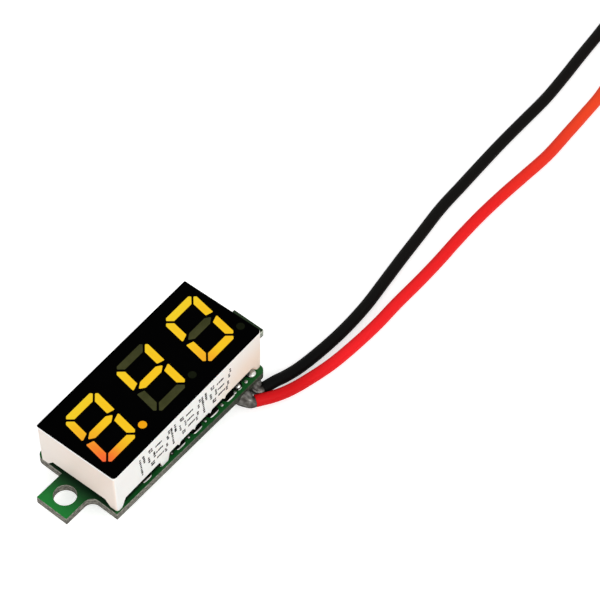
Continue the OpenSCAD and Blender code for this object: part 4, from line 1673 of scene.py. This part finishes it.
@dataclass
class Lead:
    """One loose lead: bare strands at the board, the jacket, a coil, and a bare end."""

    hue: Hue
    route_mm: Sequence[tuple[float, float, float]]
    pad_x: float
    tail_angle: float
    diameter: float = 1.3 * MM
    core: float = 0.6 * MM
    coil_radius: float = 7 * MM
    coil_pitch: float = 1.35 * MM
    coil_inner: float = 3.75 * MM
    sleeve: float = 0.25 * MM
    last_turn: float = 0.25
    tail: float = 5 * MM
    tail_bend: float = 3.2 * MM
    wicked: Pair = (1.5, 1.4)
    flutes: float = 3.5
    twist: float = 900.0
    flute_depth: float = 0.12
    strand_sides: int = 56
    around: int = 32

    @property
    def turns(self) -> float:
        """Turns of the coil, clockwise from its top to the angle of the bare end."""
        return 2 + (90 - self.tail_angle) / 360

    @property
    def coil_centre(self) -> np.ndarray:
        """Middle of the coil: straight below the route's last point."""
        x, y, _ = self.route_mm[-1]
        return np.array([x * MM, y * MM - self.coil_radius])

    def coil(self) -> np.ndarray:
        """The coil's turns, from its top, clockwise and inwards.

        Formula: the radius falls by the pitch each turn, and over the last quarter
        turn it eases to the ring's inner wall.

        Returns:
            Points a fraction of a millimetre apart.
        """
        n = np.linspace(0, self.turns, int(self.turns * 180))
        u = np.clip((n - self.turns + self.last_turn) / self.last_turn, 0, 1)
        ease = u * u * (3 - 2 * u)
        r = (self.coil_radius - self.coil_pitch * n) * (1 - ease) + self.coil_inner * ease
        flat = self.coil_centre + r[:, None] * on_circle(math.pi / 2 - 2 * math.pi * n)
        return np.column_stack([flat, np.full_like(n, self.diameter / 2)])

    def path(self) -> np.ndarray:
        """The jacket's whole centreline."""
        route = smooth_path(np.array(self.route_mm) * MM, 0.4 * MM)
        return evenly(np.vstack([route, self.coil()[1:]]), 0.4 * MM)

    def jacket(self, path: np.ndarray) -> bpy.types.Object:
        """The insulation, with rounded ends that fall in round the conductor.

        It is pushed a sleeve's length along the conductor, towards the board.

        Args:
            path: its centreline.

        Returns:
            The closed tube.
        """
        r = self.diameter / 2
        path = np.vstack([path[0] + unit(path[0] - path[1]) * self.sleeve, path])
        rng = np.random.default_rng(RNG_SEED + len(self.hue.value))
        wander = np.convolve(rng.normal(0, 1, len(path) + 24), np.hanning(25) / 12, "same")
        radius = r * (1 + 0.006 * wander[12 : 12 + len(path)])
        tube = swept(path, radius, self.around)
        uv_size = (self.length(path), 1.0)
        shape = Shape().grid(tube, wrap_columns=True, uv_size=uv_size)
        for k, turn, step in ((0, True, -1), (-1, False, 1)):
            centre = path[k]
            inner = centre + (tube[k] - centre) * 0.94
            out = step * (path[1] - path[0] if k == 0 else path[-1] - path[-2])
            lip = inner + unit(out) * r * 0.08
            rings = np.stack([tube[k], lip, centre + (lip - centre) * 0.4])
            shape.grid(rings if not turn else rings[:, ::-1], wrap_columns=True)
            shape.fan(rings[-1], rings[-1].mean(0), turned=turn)
        return shape.piece(f"{self.hue.value}_jacket", 50)

    @staticmethod
    def length(path: np.ndarray) -> float:
        """The length of a line of points."""
        return float(np.linalg.norm(np.diff(path, axis=0), axis=1).sum())

    def strands(self, path: np.ndarray, radius: np.ndarray, name: str) -> bpy.types.Object:
        """Twisted tinned strands as one fluted rod.

        Formula: the radius is the plain one less the flutes' depth times the square
        of 1 - f, where f is the size of the sine of the flutes times the turn plus
        the twist along the rod.

        Args:
            path: the rod's centreline.
            radius: the plain radius along it.
            name: the piece's name.

        Returns:
            The closed rod.
        """
        run = np.linspace(0, self.length(path), len(path))
        angles = self.flutes * round_angles(self.strand_sides)
        flute = np.abs(np.sin(angles + run[:, None] * self.twist))
        fluted = radius[:, None] * (1 - self.flute_depth * (1 - flute) ** 2)
        grid = swept(path, fluted, self.strand_sides)
        return Shape().capped(grid, (path[0], path[-1])).piece(name, 60)

    def core_piece(self, path: np.ndarray) -> bpy.types.Object:
        """The bare conductor from its pad to inside the jacket, wicked with solder.

        Formula: half the core times the full share, plus the swell times e to the
        minus fourth power of the way along, over its reach.
        """
        pad = np.array([self.pad_x, WIRE_PAD_Y, LEVELS.board - self.core / 2])
        bend = path[0] + unit(path[0] - path[1]) * 0.7 * MM
        line = smooth_path(np.stack([pad, (pad + bend) / 2, bend, path[0], path[3]]), 0.06 * MM)
        u = np.linspace(0, 1, len(line))
        full, swell = self.wicked
        radius = self.core / 2 * (full + swell * np.exp(-((u / 0.45) ** 4)))
        return self.strands(line, radius, f"{self.hue.value}_strands")

    def tail_piece(self) -> bpy.types.Object:
        """The bare far end, curling inwards from the coil."""
        sweep = self.tail / self.tail_bend
        start = math.radians(self.tail_angle)
        middle = self.coil_centre + (self.coil_inner - self.tail_bend) * on_circle(start)
        a = start - np.linspace(-0.25, sweep, 90)
        flat = middle + self.tail_bend * on_circle(a)
        line = np.column_stack([flat, np.full_like(a, self.diameter / 2)])
        return self.strands(line, np.full(len(line), self.core / 2), f"{self.hue.value}_bare_end")

    def build(self) -> None:
        hue = self.hue.value
        finish = Finishes.RED if self.hue is Hue.RED else Finishes.BLACK
        path = self.path()
        jacket = dress(
            self.jacket(path), finish, [f"{hue}_lead", f"{hue}_coil"]
        )
        core = dress(self.core_piece(path), Finishes.STRANDS, [f"{hue}_core"])
        tail = dress(self.tail_piece(), Finishes.STRANDS, [f"{hue}_tail"])
        LOG.info("%s lead: %.1f mm", hue, self.length(path) / MM)


RED_ROUTE = (
    (8.7, -6.5, 1.35), (10.2, -7.35, 1.2), (12, -8, 0.95), (14.3, -8.5, 0.7), (17.5, -9.1, 0.65),
    (21, -9.4, 0.65), (24.5, -9.5, 0.65), (28, -9.4, 0.65), (32, -9.4, 0.65), (35.5, -9.3, 0.65),
    (39, -9.1, 0.65), (43, -9, 0.65), (47, -9.1, 0.65), (50.5, -9.3, 0.65), (54.5, -9.5, 0.65),
    (58.5, -9.3, 0.65), (62, -9.1, 0.65), (65.3, -8.85, 0.65), (68.5, -8.2, 0.65), (71.5, -7, 0.65),
    (74.5, -5.4, 0.65), (77.6, -4.3, 0.65), (81, -3.9, 0.65),
)
BLACK_ROUTE = (
    (10.4, -6, 1.35), (11.7, -6.3, 1.3), (13.1, -6.6, 1), (15.2, -6.9, 0.7), (18.5, -7.2, 0.65),
    (22, -7.3, 0.65), (25.7, -7.1, 0.65), (29.4, -6.6, 0.65), (33, -6.1, 0.65), (37, -5.6, 0.65),
    (41, -5.1, 0.65), (45, -4.9, 0.65), (49, -4.7, 0.65), (53, -4.55, 0.65), (57, -4.5, 0.65),
    (61, -4.45, 0.65), (65, -4.1, 0.65), (69, -3.65, 0.65), (73, -3.25, 0.65), (77, -2.7, 0.65),
    (81.5, -1.7, 0.65), (86.5, -0.8, 0.65), (91.5, -0.3, 0.65), (96.3, -0.2, 0.65),
)


@dataclass
class WireSolder:
    """The two solder mounds that hold the leads, with their buttons on the top."""

    base: float = 0.56 * MM
    tops: Pair = (0.3 * MM, 0.5 * MM)
    mound: float = 0.8 * MM
    button: float = 0.25 * MM
    lean: Pair = (0.06, -0.16)

    def build(self) -> None:
        """Each is one leaning solid: a domed button above, a taller dome below.

        Formula: both domes follow the radius times the cosine, and the height times
        the sine, of a quarter turn.
        """
        a = np.radians(np.linspace(0, 90, 10))
        thick = LEVELS.top - LEVELS.board
        shapes = []
        for x, top in zip(WIRE_PADS, self.tops, strict=True):
            upper = np.stack([top * np.sin(a), thick + self.button * np.cos(a)], -1)
            lower = np.stack([self.base * np.cos(a), -self.mound * np.sin(a)], -1)
            foot = (x, WIRE_PAD_Y, LEVELS.board)
            shapes.append(lathe(np.vstack([upper, lower]), foot, 36, self.lean))
        dress(merged("wire_mounds", shapes, 50), Finishes.WIRE_SOLDER, ["wire_solder"])


# ---------------------------------------------------------------- studio


@dataclass
class Studio:
    """The camera, the lamps, the white surroundings and the floor."""

    eye: tuple[float, float, float] = (-0.10327, -0.10143, 0.21805)
    aim: tuple[float, float, float] = (0.01918, -0.00334, 0.005)
    roll: float = 1.253
    lens: float = 153.8
    sensor: float = 36.0
    clip: Pair = (0.01, 20.0)
    floor_size: float = 3.0
    floor_gap: float = 0.01 * MM
    floor_glow: float = 0.56
    floor_colour: Colour = (0.8, 0.8, 0.8)
    lamp_aim: tuple[float, float, float] = (0.01, 0, 0)
    ambient: float = 0.5

    def camera(self) -> None:
        """Places the camera: it looks from the eye to the aim, rolled a little."""
        look = Vector(self.aim) - Vector(self.eye)
        turn = look.to_track_quat("-Z", "Y").to_matrix().to_4x4()
        camera = bpy.data.cameras.new("camera")
        camera.lens = self.lens
        camera.sensor_width = self.sensor
        camera.clip_start, camera.clip_end = self.clip
        holder = placed("camera", camera)
        roll = Matrix.Rotation(math.radians(self.roll), 4, "Z")
        holder.matrix_world = Matrix.Translation(self.eye) @ turn @ roll
        bpy.context.scene.camera = holder

    def lamp(
        self, name: str, place: Sequence[float], size: float, watts: float, colour: Colour
    ) -> None:
        """A square lamp that faces the module.

        Args:
            name: its name.
            place: where it hangs, in metres.
            size: its side.
            watts: its power.
            colour: its colour.
        """
        lamp = bpy.data.lights.new(name, "AREA")
        lamp.size = size
        lamp.energy = watts
        lamp.color = colour
        holder = placed(name, lamp)
        holder.location = place
        look = Vector(self.lamp_aim) - Vector(place)
        holder.rotation_euler = look.to_track_quat("-Z", "Y").to_euler()

    @staticmethod
    def seen(tree: Tree) -> Value:
        """1 for the rays that show the surroundings: camera, mirror and glass rays."""
        rays = tree.node("ShaderNodeLightPath").socket.node.outputs
        total = Value(tree, rays["Is Camera Ray"]) + Value(tree, rays["Is Glossy Ray"])
        total = total + Value(tree, rays["Is Transmission Ray"])
        return total.math("MINIMUM", 1)

    def world(self) -> None:
        """White where it is seen, a plain grey light elsewhere."""
        world = bpy.data.worlds.new("surroundings")
        world.use_nodes = True
        bpy.context.scene.world = world
        tree = Tree(world.node_tree)
        strength = self.ambient + self.seen(tree) * (1 - self.ambient)
        inputs = {"Color": (1, 1, 1, 1), "Strength": strength}
        tree.finish(tree.node("ShaderNodeBackground", inputs=inputs), "ShaderNodeOutputWorld")

    def floor(self) -> None:
        """A white floor that keeps the module's shadow."""
        s = self.floor_size / 2
        mesh = bpy.data.meshes.new("floor")
        z = -self.floor_gap
        mesh.from_pydata([(-s, -s, z), (s, -s, z), (s, s, z), (-s, s, z)], [], [(0, 1, 2, 3)])
        floor = placed("floor", mesh)
        material = bpy.data.materials.new("white_floor")
        material.use_nodes = True
        tree = Tree(material.node_tree)
        diffuse = tree.node("ShaderNodeBsdfDiffuse", inputs={"Color": (*self.floor_colour, 1)})
        strength = self.seen(tree) * self.floor_glow
        glow = tree.node("ShaderNodeEmission", inputs={"Color": (1, 1, 1, 1), "Strength": strength})
        tree.finish(tree.node("ShaderNodeAddShader", inputs={0: diffuse, 1: glow}))
        mesh.materials.append(material)

    def build(self) -> None:
        """Sets up everything that isn't the module."""
        bpy.context.scene.view_settings.view_transform = "Standard"
        self.camera()
        self.world()
        self.floor()
        self.lamp("key", (-0.1, -0.42, 0.34), 0.35, 1.32, (1.0, 0.985, 0.965))
        self.lamp("fill", (-0.45, 0.05, 0.28), 0.4, 0.72, (1.0, 0.95, 0.92))
        self.lamp("top", (0.1, 0.15, 0.55), 0.5, 0.45, (1, 1, 1))


def main() -> None:
    """Builds the module and its surroundings in order."""
    logging.basicConfig(level=logging.INFO, format="%(name)s: %(message)s")
    Studio().build()
    red = Lead(Hue.RED, RED_ROUTE, WIRE_PADS[0], 15, wicked=(1.85, 1.5))
    black = Lead(Hue.BLACK, BLACK_ROUTE, WIRE_PADS[1], 179)
    display = (DisplayHousing(), InkDots(), DisplayFace())
    circuit = (CircuitBoard(), Traces(), MeterCircuit(), WireSolder())
    for part in (red, black, *display, *circuit):
        part.build()


if __name__ == "__main__":
    main()
